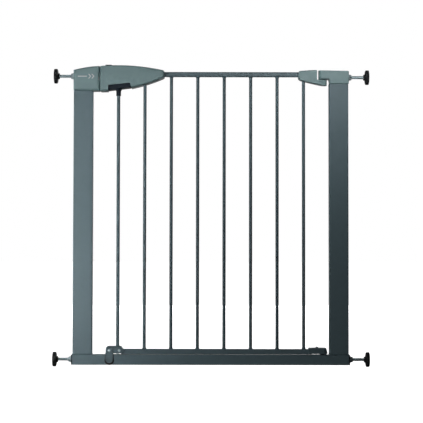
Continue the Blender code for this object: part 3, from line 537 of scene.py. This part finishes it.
def build_hinge_arm():
    """The leaf's arm: a block on the rail's end that drops to a tongue under the cap."""
    hinge_x = sum(spans("upper_hinge_pin")[:2]) / 2
    x0, x1, y0, y1, z0, z1 = spans("hinge_arm")
    rail = spans("top_rail")
    bar = spans("bar_8")
    steps = [i / 14 for i in range(15)]
    foot = [((219 + 56 * t) * MM, (700.2 - 12.6 * (1 - (1 - t) ** 1.2)) * MM) for t in steps]
    shoulder = 259.4 * MM
    side_view = [(x0, z1 - 2.8 * MM), (x0, 704 * MM)] + foot + [
        (285 * MM, z0), (285 * MM, 701.4 * MM), (shoulder, 701.4 * MM), (shoulder, z1),
        (240 * MM, z1 - 0.8 * MM), (222 * MM, z1 - 2.1 * MM)]
    radii = [5 * MM, 4 * MM] + [0] * 15 + [0, 0, 0, 2.6 * MM, 0, 0]
    arm = block("fine_hinge_arm", rounded(side_view, radii), "y", y0, y1, 2.5 * MM, 6)
    plan = arc(hinge_x, 0, 10 * MM, 75, -75, 40)
    plan += [(262 * MM, -12.5 * MM), (0.2, -12.5 * MM), (0.2, 12.5 * MM), (262 * MM, 12.5 * MM)]
    combine(arm, "INTERSECT", block("plan", plan, "z", 0.68, 0.74, 0))
    cut(arm, box("rail_way", 0.21, rail[1], rail[2] - SEAT, rail[3] + SEAT, rail[4] - SEAT,
                 rail[5] + SEAT, 0, 3 * MM),
        rod("bar_way", ((bar[0] + bar[1]) / 2, 0, 0), "z", 0.68, bar[5], PIN_HOLE_R),
        rod("pin_way", (hinge_x, 0, 0), "z", 0.68, 0.71, PIN_HOLE_R))
    dress(soften(arm, 0.5 * MM, 40, 3), "hinge_arm")


def build_lower_bracket():
    hinge_x = sum(spans("lower_hinge_pin")[:2]) / 2
    x0, x1, y0, y1, z0, z1 = spans("lower_hinge_bracket")
    rail = spans("bottom_rail")
    outline = rounded([(x0, z0), (x1 + 0.8 * MM, z0), (281 * MM, z1), (x0, z1)], 2 * MM)
    bracket = block("fine_lower_hinge_bracket", outline, "y", y0, y1, 1.5 * MM, 5)
    plan = arc(hinge_x, 0, y1, 90, -90, 40) + [(0.23, y0), (0.23, y1)]
    combine(bracket, "INTERSECT", block("plan", plan, "z", 0.02, 0.06, 0))
    cut(bracket, box("rail_way", 0.23, rail[1], rail[2] - SEAT, rail[3] + SEAT, rail[4] - SEAT,
                     rail[5] + SEAT, 0, 2.5 * MM),
        rod("pin_way", (hinge_x, 0, 0), "z", 0.02, 43.3 * MM, PIN_HOLE_R),
        rod("screw_way", (259 * MM, 0, 0), "z", 37 * MM, 0.06, SCREW_HOLE_R, 0, 24))
    dress(soften(bracket, 0.35 * MM, 40), "lower_hinge_bracket")
    sx = sum(spans("hinge_bracket_screw")[:2]) / 2
    screw_z = spans("hinge_bracket_screw")[4:]
    head = pan_head("fine_hinge_bracket_screw", (sx, 0, 0), "z", z1 + 0.3 * MM, screw_z[1],
                    screw_z[0], 3.4 * MM)
    dress(head, "hinge_bracket_screw")


def pan_head(name, at, axis, seat, top, tip, r_head):
    """A screw with a domed head, a cross recess in it and a shank to tip."""
    up = 1 if top > seat else -1
    high = abs(top - seat)
    dome = [(seat + up * high * math.sin(t), r_head * math.cos(t) ** 0.6) for t in
            [math.pi / 2 * k / 8 for k in range(8)]]
    dome = [(tip, 0.7 * MM), (tip + up * 2 * MM, 1.5 * MM), (seat, 1.5 * MM)] + dome
    dome.append((top, 0.5 * MM))
    screw = turned(name, dome, at, axis, 40)
    wide, deep = 0.5 * MM, 0.75 * high
    lo, hi = sorted((top - up * deep, top + up * MM))
    for long_way in (0, 1):
        halves = (1.7 * MM, wide) if long_way else (wide, 1.7 * MM)
        section = rect(-halves[0], halves[0], -halves[1], halves[1])
        slot = block("slot", section, axis, lo, hi, 0)
        slot.data.transform(Matrix.Translation(Vector(at)))
        cut(screw, slot)
    return screw


# ---- wall adjusters -------------------------------------------------------

PITCH = 1.25 * MM
THREAD_DEPTH = 0.7 * MM


def thread(name, at, a, b, r):
    """A spindle along X with a real helical thread, plain for a millimetre at each end."""
    sides = 28
    run = [0.0, 0.2, 0.5, 0.7]
    depth = [0.0, 0.0, 1.0, 1.0]
    turns = int((b - a) / PITCH)
    stops = [a + PITCH * (n + s) for n in range(turns) for s in run]
    depths = depth * turns
    rings = [[(a, at[1] + 0.75 * r * math.cos(t), at[2] + 0.75 * r * math.sin(t)) for t in
              [2 * math.pi * k / sides for k in range(sides)]]]
    for stop, low in zip(stops[2:-6], depths[2:-6]):
        ring_points = []
        for k in range(sides):
            t = 2 * math.pi * k / sides
            x = min(max(stop + PITCH * k / sides, a + 0.1 * MM), b - 0.1 * MM)
            taper = min(1.0, (x - a) / (1.2 * MM), (b - x) / (1.2 * MM))
            reach = r - low * THREAD_DEPTH - (1 - max(taper, 0)) * THREAD_DEPTH
            ring_points.append((x, at[1] + reach * math.cos(t), at[2] + reach * math.sin(t)))
        rings.append(ring_points)
    rings.append([(b, at[1] + 0.75 * r * math.cos(t), at[2] + 0.75 * r * math.sin(t)) for t in
                  [2 * math.pi * k / sides for k in range(sides)]])
    return skin(name, rings)


def wall_pad(label, sign, mid_z):
    """A rubber pad: ringed grip face, ribbed rim, waisted hub and the spindle's socket."""
    x0, x1 = spans("wall_pad_" + label)[:2]
    face, hub = (x0, x1) if sign < 0 else (x1, x0)
    r = (spans("wall_pad_" + label)[5] - spans("wall_pad_" + label)[4]) / 2
    inward = -sign

    def at(depth):
        return face + inward * depth * MM

    profile = [(face, 0.6 * MM)]
    for n in range(5):
        groove = (3.5 + 2.7 * n) * MM
        profile += [(face, groove), (at(0.5), groove + 0.4 * MM), (at(0.5), groove + 1.0 * MM),
                    (face, groove + 1.4 * MM)]
    profile += [(face, r - 1.3 * MM), (at(0.4), r - 0.45 * MM), (at(1.2), r - 0.05 * MM)]
    for n in range(3):
        start = 1.7 + 1.6 * n
        profile += [(at(start), r), (at(start + 0.35), r - 0.4 * MM),
                    (at(start + 0.75), r - 0.4 * MM), (at(start + 1.1), r)]
    profile += [(at(6.6), r), (at(7.8), r - 0.9 * MM), (at(8.5), r - 2.4 * MM),
                (at(8.8), r - 4 * MM), (at(8.8), 9.2 * MM), (at(9.3), 8.1 * MM),
                (at(10.2), 7.5 * MM), (at(11.8), 7.3 * MM), (hub, 6.6 * MM), (hub, 4.3 * MM),
                (at(7), 4.3 * MM), (at(7), 0.6 * MM)]
    return turned("rubber_pad_" + label, profile, (0, 0, mid_z), "x", 64)


def hex_nut(label, sign, mid_z):
    """A flanged M8 nut, its corners turned off, bored over the spindle."""
    x0, x1 = spans("nut_" + label)[:2]
    near, far = (x1, x0) if sign < 0 else (x0, x1)
    corner_r = 6.5 * MM / math.cos(math.pi / 6)
    hexagon = [(corner_r * math.cos(k * math.pi / 3), corner_r * math.sin(k * math.pi / 3) + mid_z)
               for k in range(6)]
    body = block("fine_nut_" + label, hexagon, "x", near + sign * 0.5 * MM, far, 0.15 * MM)
    cone = turned("cone", [(near, 9 * MM), (far - sign * 1.1 * MM, 7.75 * MM), (far, 6.3 * MM)],
                  (0, 0, mid_z), "x", 64)
    combine(body, "INTERSECT", cone)
    flange = turned("flange", [
        (near, 7.9 * MM), (near + sign * 0.4 * MM, 8.5 * MM), (near + sign * 1.0 * MM, 8.5 * MM),
        (near + sign * 1.5 * MM, 8.0 * MM), (near + sign * 2.2 * MM, 6.9 * MM)],
        (0, 0, mid_z), "x", 64)
    join(body, flange)
    cut(body, rod("bore", (0, 0, mid_z), "x", x0 - MM, x1 + MM, 4.15 * MM))
    return soften(body, 0.2 * MM, 35)


def build_adjusters():
    for label in ("top_left", "top_right", "low_left", "low_right"):
        sign = -1 if "left" in label else 1
        x0, x1, _, _, z0, z1 = spans("spindle_" + label)
        mid_z = (z0 + z1) / 2
        dress(thread("fine_spindle_" + label, (0, 0, mid_z), x0, x1, (z1 - z0) / 2),
              "spindle_" + label, sharp=50)
        dress(wall_pad(label, sign, mid_z), "wall_pad_" + label, sharp=50)
        dress(hex_nut(label, sign, mid_z), "nut_" + label)


# ---- leaf -----------------------------------------------------------------

def build_leaf_grid():
    for node, r in (("top_rail", 3 * MM), ("bottom_rail", 2.5 * MM)):
        x0, x1, y0, y1, z0, z1 = spans(node)
        dress(block("fine_" + node, rect(y0, y1, z0, z1, r), "x", x0, x1), node)
    for n in range(2, 9):
        node = f"bar_{n}"
        x0, x1, _, _, z0, z1 = spans(node)
        r = (x1 - x0) / 2
        profile = weld_flare(z0 - SEAT, 1, r)
        profile += [(z1, r)] if n in (2, 8) else weld_flare(z1 + SEAT, -1, r)[::-1]
        dress(turned("fine_" + node, profile, ((x0 + x1) / 2, 0, 0), "z", 40), node, sharp=60)
    x0, x1, _, _, z0, z1 = spans("push_rod")
    dress(rod("fine_push_rod", ((x0 + x1) / 2, 0, 0), "z", z0, z1, (x1 - x0) / 2, 0.6 * MM),
          "push_rod")
    plain_rod("lock_pin", "z", MM)


def weld_flare(z, up, r):
    """The profile of a small fillet weld that starts at z and thins out along the bar."""
    steps = [(0.0, 1.5), (0.5, 1.35), (1.1, 0.85), (2.0, 0.38), (3.2, 0.1), (4.4, 0.0)]
    return [(z + up * h * MM, r + w * MM) for h, w in steps]


def build_latch_bracket():
    x0, x1, y0, y1, z0, z1 = spans("latch_bracket")
    rod_x = sum(spans("push_rod")[:2]) / 2
    rail = spans("bottom_rail")
    outline = rounded([(x0, z0), (x1 - 5.8 * MM, z0), (x1 + 0.7 * MM, z0 + 6 * MM),
                       (x1 - 7.8 * MM, z1), (x0, z1)],
                      [2 * MM, 3 * MM, 3 * MM, 4 * MM, 7 * MM])
    bracket = block("fine_latch_bracket", outline, "y", y0, y1, 1.5 * MM, 5)
    ways = [rod("rivet_way", (sum(spans(rivet)[:2]) / 2, 0, sum(spans(rivet)[4:]) / 2), "y", -0.02,
                -7 * MM, SCREW_HOLE_R, 0, 24) for rivet in ("tab_rivet", "bracket_rivet")]
    cut(bracket, box("rail_way", rail[0], -0.2, rail[2] - SEAT, rail[3] + SEAT, z0 - 2 * MM,
                     rail[5] + SEAT),
        rod("rod_way", (rod_x, 0, 0), "z", 0.038, 0.06, 4.7 * MM),
        rod("bush_way", (rod_x, 0, 0), "z", 0.03, 0.0381, 5.3 * MM), *ways)
    dress(soften(bracket, 0.35 * MM, 40), "latch_bracket")
    turned_ring("rod_guide_bush", "z", 3.5 * MM)
    for node in ("tab_rivet", "bracket_rivet"):
        rx0, rx1, ry0, ry1, rz0, rz1 = spans(node)
        seat = ry0 + 1.6 * MM
        r = (rx1 - rx0) / 2
        dome = [(seat - 1.6 * MM * math.sin(t), r * math.cos(t)) for t in
                [math.pi / 2 * k / 10 for k in range(10)]]
        profile = [(ry1, 1.5 * MM), (seat, 1.5 * MM)] + dome + [(ry0, 0.3 * MM)]
        at = ((rx0 + rx1) / 2, 0, (rz0 + rz1) / 2)
        dress(turned("fine_" + node, profile, at, "y", 40), node)


def build_stop_tab():
    """The hanging tab with a raised border, and the soft black pad behind it, whose dark rim round
    the tab is painted shadow: it stands in for part of the tab's shadow on the base bar.
    """
    tab_x, tab_z = (sum(spans("tab_rivet")[k:k + 2]) / 2 for k in (0, 4))
    # The pad is black and wider than the tab, so its rim paints part of the tab's shadow on the
    # base bar; the lamps cast a real shadow beside it.
    for node, edge in (("stop_tab", 0.7 * MM), ("stop_tab_pad", 0.5 * MM)):
        x0, x1, y0, y1, z0, z1 = spans(node)
        r = (x1 - x0) / 2
        outline = arc(tab_x, z0 + r, r, 180, 360, 28) + arc(tab_x, tab_z, z1 - tab_z, 0, 180, 28)
        tab = block("fine_" + node, outline, "y", y1, y0, edge, 4)
        if node == "stop_tab":
            panel = inset(outline, 2.2 * MM)
            panel = [p for p in panel if p[1] < tab_z - 9 * MM]
            cut(tab, block("panel", panel, "y", y0 - MM, y0 + 0.45 * MM, 0))
        cut(tab, rod("rivet_way", (tab_x, 0, tab_z), "y", y0 - MM, y1 + MM, 1.8 * MM, 0, 24))
        dress(soften(tab, 0.2 * MM, 40), node)


# ---- handle, keeper and latch ---------------------------------------------

SHELL = 2.4 * MM
RIM = 5.0 * MM
CROWN = 0.9 * MM
FACE_INSET = 8.0 * MM
INK_DEPTH = 0.05 * MM               # room for the print inside the CAD box
CREST_X, CREST_Z = -228.0 * MM, 735.5 * MM
CREST_DROP = 9.8 * MM               # fall of the crown 100 mm away from its crest
SOLE_RISE, SOLE_LENGTH = 33.0 * MM, 154.5 * MM
KEEPER_TOP_Z, KEEPER_RISE = 723.9 * MM, 9.4 * MM
LIP_RISE = 1.5 * MM


def handle_outline(d):
    """The handle's side view, inset by d: two parabolas that meet a blunt tip."""
    x_left, x_right = spans("handle_shell_front")[:2]
    foot_z = spans("handle_shell_front")[4]
    x0, x1 = x_left + d, x_right - d
    end = x1 - 3 * MM
    crown = [end + (x0 - end) * i / 44 for i in range(45)]
    sole = [x0 + (end - x0) * i / 36 for i in range(37)]
    top = [(x, CREST_Z - CREST_DROP * ((x - CREST_X) / 0.1) ** 2 - d) for x in crown]
    foot = [(x, foot_z + SOLE_RISE * ((x - x_left) / SOLE_LENGTH) ** 2 + d) for x in sole]
    tip = [(x1, foot[-1][1] + 2.5 * MM), (x1, top[0][1] - 2.5 * MM)]
    radii = [2 * MM] + [0] * (len(foot) - 1) + [1.5 * MM] * 2 + [0] * (len(top) - 1) + [1.5 * MM]
    return rounded(foot + tip + top, radii, 5)


def keeper_outline(d):
    """The keeper's side view, inset by d: a crown that rises to the handle, a lip on the post."""
    x_left, x_right = spans("keeper_shell_front")[:2]
    foot_z = spans("keeper_shell_front")[4]
    x0, x1 = x_left + d, x_right - d
    parts = [i / 24 for i in range(25)]
    top = [(x0 + (x1 - x0) * t, KEEPER_TOP_Z + KEEPER_RISE * math.sin(t * math.pi / 2) - d)
           for t in parts]
    lip = [(x0 + 27 * MM * t, foot_z + d + LIP_RISE * (1 - t) ** 2) for t in parts[::2]]
    radii = [0] * len(lip) + [2 * MM, 1.2 * MM] + [0] * (len(top) - 1)
    return rounded(lip + [(x1, foot_z + d)] + top[::-1], radii, 5)


def shell(name, outline, side, node):
    """Half a housing: a crowned face, a round rim, and a hollow open at the split."""
    x0, x1, y0, y1, z0, z1 = spans(node)
    face, split = (y0, y1) if side < 0 else (y1, y0)
    rings = []
    for k in range(11):
        d = FACE_INSET * (1 - k / 10) ** 1.4
        sink = RIM - math.sqrt(max(0.0, RIM ** 2 - max(0.0, RIM - d) ** 2))
        sink += CROWN * (1 - d / FACE_INSET) ** 2
        rings.append([(x, face - side * (sink + INK_DEPTH), z) for x, z in outline(d)])
    rings.append([(x, split, z) for x, z in outline(0.0)])
    half = skin(name, rings)
    deep = face - side * (SHELL + CROWN)
    hollow = skin("hollow", [[(x, at, z) for x, z in outline(SHELL)] for at in
                             (deep, split - side * MM)])
    return cut(half, hollow)


def screw_spots(prefix, count):
    """Centre of each screw, from its CAD node."""
    for n in range(1, count + 1):
        x0, x1, _, _, z0, z1 = spans(f"{prefix}_{n}")
        yield f"{prefix}_{n}", ((x0 + x1) / 2, 0, (z0 + z1) / 2)


def build_keeper():
    bolt = spans("latch_bolt")
    post = spans("post_left")
    core = spans("keeper_core")
    spindle = spans("spindle_top_left")
    x_right = spans("keeper_shell_front")[1]
    room = MOUTH_ROOM
    for side, label in ((-1, "front"), (1, "rear")):
        node = "keeper_shell_" + label
        half = shell("fine_" + node, keeper_outline, side, node)
        cut(half, box("post_room", post[0] - MM, post[1] + 0.3 * MM, post[2] - 0.3 * MM,
                      post[3] + 0.3 * MM, 0.65, post[5] + 0.3 * MM),
            box("core_room", core[0] - 0.3 * MM, core[1] + 0.3 * MM, core[2] - 0.3 * MM,
                core[3] + 0.3 * MM, 0.66, 0.69),
            box("mouth", x_right - 4 * MM, x_right + MM, bolt[2] - room, bolt[3] + room,
                bolt[4] - room, bolt[5] + room),
            rod("spindle_way", (0, 0, (spindle[4] + spindle[5]) / 2), "x", -0.34, -0.332,
                SPINDLE_HOLE_R))
        if side < 0:
            slit = [(x_right - 3.8 * MM, 698 * MM), (x_right + MM, 698 * MM),
                    (x_right + MM, 720 * MM), (x_right - 0.6 * MM, 720 * MM)]
            cut(half, block("slit", slit, "y", -0.021, -0.012, 0))
        else:
            for _, at in screw_spots("keeper_screw", 2):
                cut(half, *screw_ways(at))
        dress(soften(half, 0.3 * MM, 50), node)
    fine_core(core, spindle)
    plate = spans("strike_plate")
    fine = block("fine_strike_plate", rect(plate[2], plate[3], plate[4], plate[5], 2 * MM), "x",
                 plate[0], plate[1], 0.3 * MM)
    window = rect(bolt[2] - room, bolt[3] + room, bolt[4] - room, bolt[5] + room, MM)
    dress(cut(fine, block("window", window, "x", plate[0] - MM, plate[1] + MM, 0)), "strike_plate")
    for node, at in screw_spots("keeper_screw", 2):
        dress(rear_screw(node, at), node)


def fine_core(core, spindle):
    x0, x1, y0, y1, z0, z1 = core
    body = block("fine_keeper_core", rect(x0, x1, z0, z1, MM), "y", y0, y1, 0.5 * MM)
    cut(body, rod("way", (0, 0, (spindle[4] + spindle[5]) / 2), "x", -0.34, -0.28, SPINDLE_HOLE_R),
        *[rod("screw_way", at, "y", 2 * MM, 0.02, SCREW_HOLE_R, 0, 24) for _, at in
          screw_spots("keeper_screw", 2)],
        *[box("rib_gap", x0 + 5 * MM, x1 - 5 * MM, side * 5 * MM, side * 9 * MM, z + 0.65,
              z + 0.658) for z in (0, 0.012) for side in (-1, 1)])
    dress(body, "keeper_core")


def screw_ways(at):
    back = spans("handle_shell_rear")[3]
    yield rod("counterbore", at, "y", back - 1.5 * MM, back + MM, 3.5 * MM, 0, 32)
    yield rod("hole", at, "y", 0, back + MM, SCREW_HOLE_R, 0, 24)


def rear_screw(node, at):
    y0, y1 = spans(node)[2:4]
    return pan_head("fine_" + node, at, "y", y1 - 1.1 * MM, y1, y0, 3.1 * MM)


def build_handle():
    bolt = spans("latch_bolt")
    rail = spans("top_rail")
    bar = spans("bar_2")
    slide = spans("thumb_slide")
    x_left = spans("handle_shell_front")[0]
    room = MOUTH_ROOM
    for side, label in ((-1, "front"), (1, "rear")):
        node = "handle_shell_" + label
        half = shell("fine_" + node, handle_outline, side, node)
        face = spans(node)[2 if side < 0 else 3]
        split = spans(node)[3 if side < 0 else 2]
        for _, at in screw_spots("handle_screw", 2):
            join(half, rod("boss", at, "y", *sorted((face - side * 2.5 * MM, split)), 4.2 * MM, 0,
                           32))
            tools = [rod("pilot", at, "y", -16 * MM, 0, SCREW_HOLE_R, 0, 24)] if side < 0 else (
                list(screw_ways(at)))
            cut(half, *tools)
        recess = [(-252.2, 655), (-251.2, 686.6), (-198.0, 692.0), (-194.9, 681), (-194.9, 655)]
        corners = rounded([(x * MM, z * MM) for x, z in recess], [0, 1.5 * MM, 1.5 * MM, 0, 0])
        cut(half, block("trigger_recess", corners, "y", -0.03, 0.03, 0),
            box("mouth", x_left - 4 * MM, x_left + 4 * MM, bolt[2] - room, bolt[3] + room,
                bolt[4] - room, bolt[5] + room),
            box("rail_way", rail[0], -0.1, rail[2] - SEAT, rail[3] + SEAT, rail[4] - SEAT,
                rail[5] + SEAT, 0, 3 * MM),
            rod("bar_way", ((bar[0] + bar[1]) / 2, 0, 0), "z", 0.68, bar[5], PIN_HOLE_R),
            box("button_pocket", slide[0] - 0.5 * MM, slide[1] + 6.5 * MM, slide[2] - 0.5 * MM,
                slide[3] + 0.5 * MM, 734.1 * MM, 0.75),
            box("button_slot", -254.6 * MM, -242.4 * MM, -5.8 * MM, 5.8 * MM, 0.728, 0.75))
        dress(soften(half, 0.3 * MM, 50), node)
    for node, at in screw_spots("handle_screw", 2):
        dress(rear_screw(node, at), node)
    plain_rod("crank_pin", "y", 0.4 * MM)
    build_spring()


def build_spring():
    """The trigger's return spring, with closed end coils."""
    x0, x1, y0, y1, z0, z1 = spans("return_spring")
    wire = 0.5 * MM
    coil = (x1 - x0) / 2 - wire
    sides, per_turn, turns = 10, 28, 8
    low, high = z0 + wire, z1 - wire
    rings = []
    for i in range(turns * per_turn + 1):
        t = i / (turns * per_turn)
        ease = t * t * (3 - 2 * t)
        along = low + (high - low) * (0.35 * t + 0.65 * ease)
        turn = 2 * math.pi * i / per_turn
        out = Vector((math.cos(turn), math.sin(turn), 0))
        centre = Vector(((x0 + x1) / 2, (y0 + y1) / 2, along)) + out * coil
        rings.append([tuple(centre + out * wire * math.cos(a) + Vector((0, 0, wire * math.sin(a))))
                      for a in [2 * math.pi * k / sides for k in range(sides)]])
    dress(skin("fine_return_spring", rings), "return_spring", sharp=70)


def build_trigger():
    """The trigger: a wedge with grip grooves, a channel, a stem over the push rod and a post."""
    x0, x1, y0, y1, z0, z1 = spans("trigger")
    rod_x = sum(spans("push_rod")[:2]) / 2
    wedge = [(-251.6, 674.6), (-195.7, 681.8), (-197.5, 698), (-250.6, 698)]
    body = block("fine_trigger", rounded([(x * MM, z * MM) for x, z in wedge], 2 * MM), "y",
                 y0, y1, 1.5 * MM, 5)
    cut(body, box("channel", -0.26, -0.19, -7.5 * MM, 7.5 * MM, 686 * MM, 0.71))
    stem = turned("stem", [(z0, 5.0 * MM), (z0 + 0.3 * MM, 5.45 * MM), (z0 + 0.9 * MM, 5.75 * MM),
                           (672.0 * MM, 5.9 * MM), (674.0 * MM, 6.3 * MM), (676 * MM, 7.4 * MM),
                           (678 * MM, 9.2 * MM), (680 * MM, 10 * MM)], (rod_x, 0, 0), "z", 48)
    post = box("post", -205.5 * MM, -200.5 * MM, -3 * MM, 3 * MM, 684 * MM, z1, 0.5 * MM, 0.6 * MM)
    join(body, stem, post)
    socket = rod("socket", (rod_x, 0, 0), "z", 0.65, 675.5 * MM, 4.45 * MM)
    grooves = []
    for n in range(5):
        x = (-214.5 + 3.6 * n) * MM
        z = 674.6 * MM + (x + 251.6 * MM) * 0.1288
        grooves.append(rod("groove", (x, 0, z - 0.35 * MM), "y", -0.012, 0.012, 0.9 * MM, 0, 20))
    cut(body, socket, *grooves)
    dress(soften(body, 0.3 * MM, 45), "trigger")


def build_bolt_and_crank():
    x0, x1, y0, y1, z0, z1 = spans("latch_bolt")
    bolt = block("fine_latch_bolt", rounded([(x0, z0), (x1, z0), (x1, z1), (x0, z1)],
                                            [2 * MM, MM, MM, 2 * MM]), "y", y0, y1, 0.8 * MM)
    window = rect(-232.4 * MM, -223.2 * MM, -2.8 * MM, 2.8 * MM, 1.2 * MM)
    dress(cut(bolt, block("window", window, "z", 0.69, 0.72, 0)), "latch_bolt")

    pin = spans("crank_pin")
    px, pz = (pin[0] + pin[1]) / 2, (pin[4] + pin[5]) / 2
    y0, y1 = spans("bell_crank")[2:4]
    lean = 10.0 / 19.0 / 2
    arms = ((px - 22 * MM * math.sin(lean), pz - 22 * MM * math.cos(lean), 2.4 * MM),
            (px + 19 * MM, pz - 6.2 * MM, 2.8 * MM))
    crank = rod("fine_bell_crank", (px, 0, pz), "y", y0, y1, 5 * MM, 0.4 * MM)
    for x, z, r in arms:
        way = math.degrees(math.atan2(z - pz, x - px))
        outline = arc(x, z, r, way - 90, way + 90, 20)
        outline += arc(px, pz, 3 * MM, way + 90, way + 270, 20)
        join(crank, block("arm", outline, "y", y0 + 0.2 * MM, y1 - 0.2 * MM, 0.3 * MM))
    dress(cut(crank, rod("bore", (px, 0, pz), "y", y0 - MM, y1 + MM, 2.15 * MM)), "bell_crank")


def build_thumb_slide():
    x0, x1, y0, y1, z0, z1 = spans("thumb_slide")
    low = z1 - 2.2 * MM
    outline = rounded([(x0, low), (x1, low), (x1, z1), (x0, z1)],
                      [0.2 * MM, 0.2 * MM, MM, MM])
    slide = block("fine_thumb_slide", outline, "y", y0, y1, 0.18 * MM)
    join(slide, box("neck", -254 * MM, -249 * MM, -5 * MM, 5 * MM, 0.727, z1 - MM),
         box("foot", x0 + 1.5 * MM, x1 - MM, -7 * MM, 7 * MM, z0, z0 + 10 * MM))
    grips = [box("grip", x0 + (3.0 + 2.4 * n) * MM, x0 + (4.1 + 2.4 * n) * MM, y0 + 3 * MM,
                 y1 - 3 * MM, z1 - 0.6 * MM, z1 + MM) for n in range(5)]
    dress(soften(cut(slide, *grips), 0.12 * MM, 50), "thumb_slide")


def build_mark():
    """A generic printed sign on the keeper: two chevrons towards the handle and a rule."""
    y = spans("keeper_shell_front")[2]
    bars = [[(-325, 706.2), (-303, 706.2), (-303, 708.6), (-325, 708.6)]]
    for x in (-300, -292):
        bars.append([(x, 701.8), (x + 2.6, 701.8), (x + 7.4, 707.4), (x + 2.6, 713.0),
                     (x, 713.0), (x + 4.6, 707.4)])
    for n, points in enumerate(bars):
        outline = [(px * MM, pz * MM) for px, pz in points]
        ink = block(f"keeper_print_{n}", outline, "y", y + 0.1 * MM, y, 0)
        dress(ink, body="frame", finish="housing_plastic")
        ink.data.materials[0] = INK


build_frame()
build_hinge_cap()
build_hinge_arm()
build_lower_bracket()
build_adjusters()
build_leaf_grid()
build_latch_bracket()
build_stop_tab()
build_keeper()
build_handle()
build_trigger()
build_bolt_and_crank()
build_thumb_slide()
build_mark()


# ---- stage, light and camera ----------------------------------------------

def build_stage():
    """A plain white floor and sky that the camera sees but that add no fill to the gate."""
    bm = bmesh.new()
    bmesh.ops.create_grid(bm, x_segments=1, y_segments=1, size=30)
    floor = to_object("floor", bm)
    n = Nodes("white_floor")
    n.link(n.ramp(n.noise(2, 2), [(0.3, 0.93), (0.7, 0.97)]), n.shader.inputs["Base Color"])
    n.shader.inputs["Roughness"].default_value = 0.9
    n.shader.inputs["Emission Color"].default_value = (1, 1, 1, 1)
    n.shader.inputs["Emission Strength"].default_value = 1.1
    floor.data.materials.append(n.mat)
    floor.visible_diffuse = False
    floor.visible_glossy = False
    world = bpy.data.worlds.new("studio")
    world.use_nodes = True
    world.node_tree.nodes["Background"].inputs["Color"].default_value = (1, 1, 1, 1)
    world.node_tree.nodes["Background"].inputs["Strength"].default_value = 1.0
    world.cycles_visibility.diffuse = False
    world.cycles_visibility.glossy = False
    bpy.context.scene.world = world


def lamp(name, at, aim, power, wide, high, spread=180):
    light = bpy.data.lights.new(name, "AREA")
    light.shape = "RECTANGLE"
    light.size, light.size_y = wide, high
    light.energy = power
    light.spread = math.radians(spread)
    obj = bpy.data.objects.new(name, light)
    obj.location = at
    obj.rotation_euler = (Vector(aim) - Vector(at)).to_track_quat("-Z", "Y").to_euler()
    obj.visible_camera = False
    bpy.context.scene.collection.objects.link(obj)


def build_camera():
    """Nearly level with the lower third of the gate, looking slightly up, a long way back."""
    centre_x, aim_z = 0.00158, 0.3784
    data = bpy.data.cameras.new("camera")
    data.lens = 104.4
    data.clip_end = 100
    camera = bpy.data.objects.new("camera", data)
    camera.location = (0.0, -3.0, 0.28)
    way = Vector((centre_x, 0, aim_z)) - camera.location
    roll = Matrix.Rotation(math.radians(0.1), 3, "Z")
    camera.rotation_euler = (way.to_track_quat("-Z", "Y").to_matrix() @ roll).to_euler()
    bpy.context.scene.collection.objects.link(camera)
    bpy.context.scene.camera = camera


build_stage()
lamp("front_key", (0.0, -3.4, 0.5), (0, 0, 0.4), 6.5, 1.6, 1.2)
lamp("left_strip", (-0.7, -1.5, 0.36), (-0.40, 0, 0.36), 0.25, 0.1, 0.8, 30)
lamp("left_wash", (-1.2, -1.3, 0.36), (-0.34, 0, 0.36), 1.5, 0.1, 0.8, 60)
lamp("left_foot", (-0.6, -1.3, 0.12), (-0.38, 0, 0.12), 0.04, 0.05, 0.3, 22)
lamp("top_strip", (0.1, -1.3, 0.78), (0.1, 0, 0.78), 0.2, 1.0, 0.1, 40)
lamp("right_top", (0.3, -0.8, 0.90), (0.3, 0, 0.72), 0.25, 0.5, 0.1, 60)
lamp("hinge_spot", (0.30, -1.0, 0.72), (0.29, 0, 0.715), 0.004, 0.12, 0.04, 16)
lamp("back_fill", (0.0, 3.4, 0.5), (0, 0, 0.4), 14, 1.6, 1.2)
lamp("back_key", (1.3, 2.6, 1.3), (0, 0, 0.4), 20, 1.2, 1.2)
lamp("overhead", (0, 0.6, 3.2), (0, 0.1, 0.4), 7, 1.6, 1.0)
build_camera()
bpy.context.scene.view_settings.view_transform = "Standard"
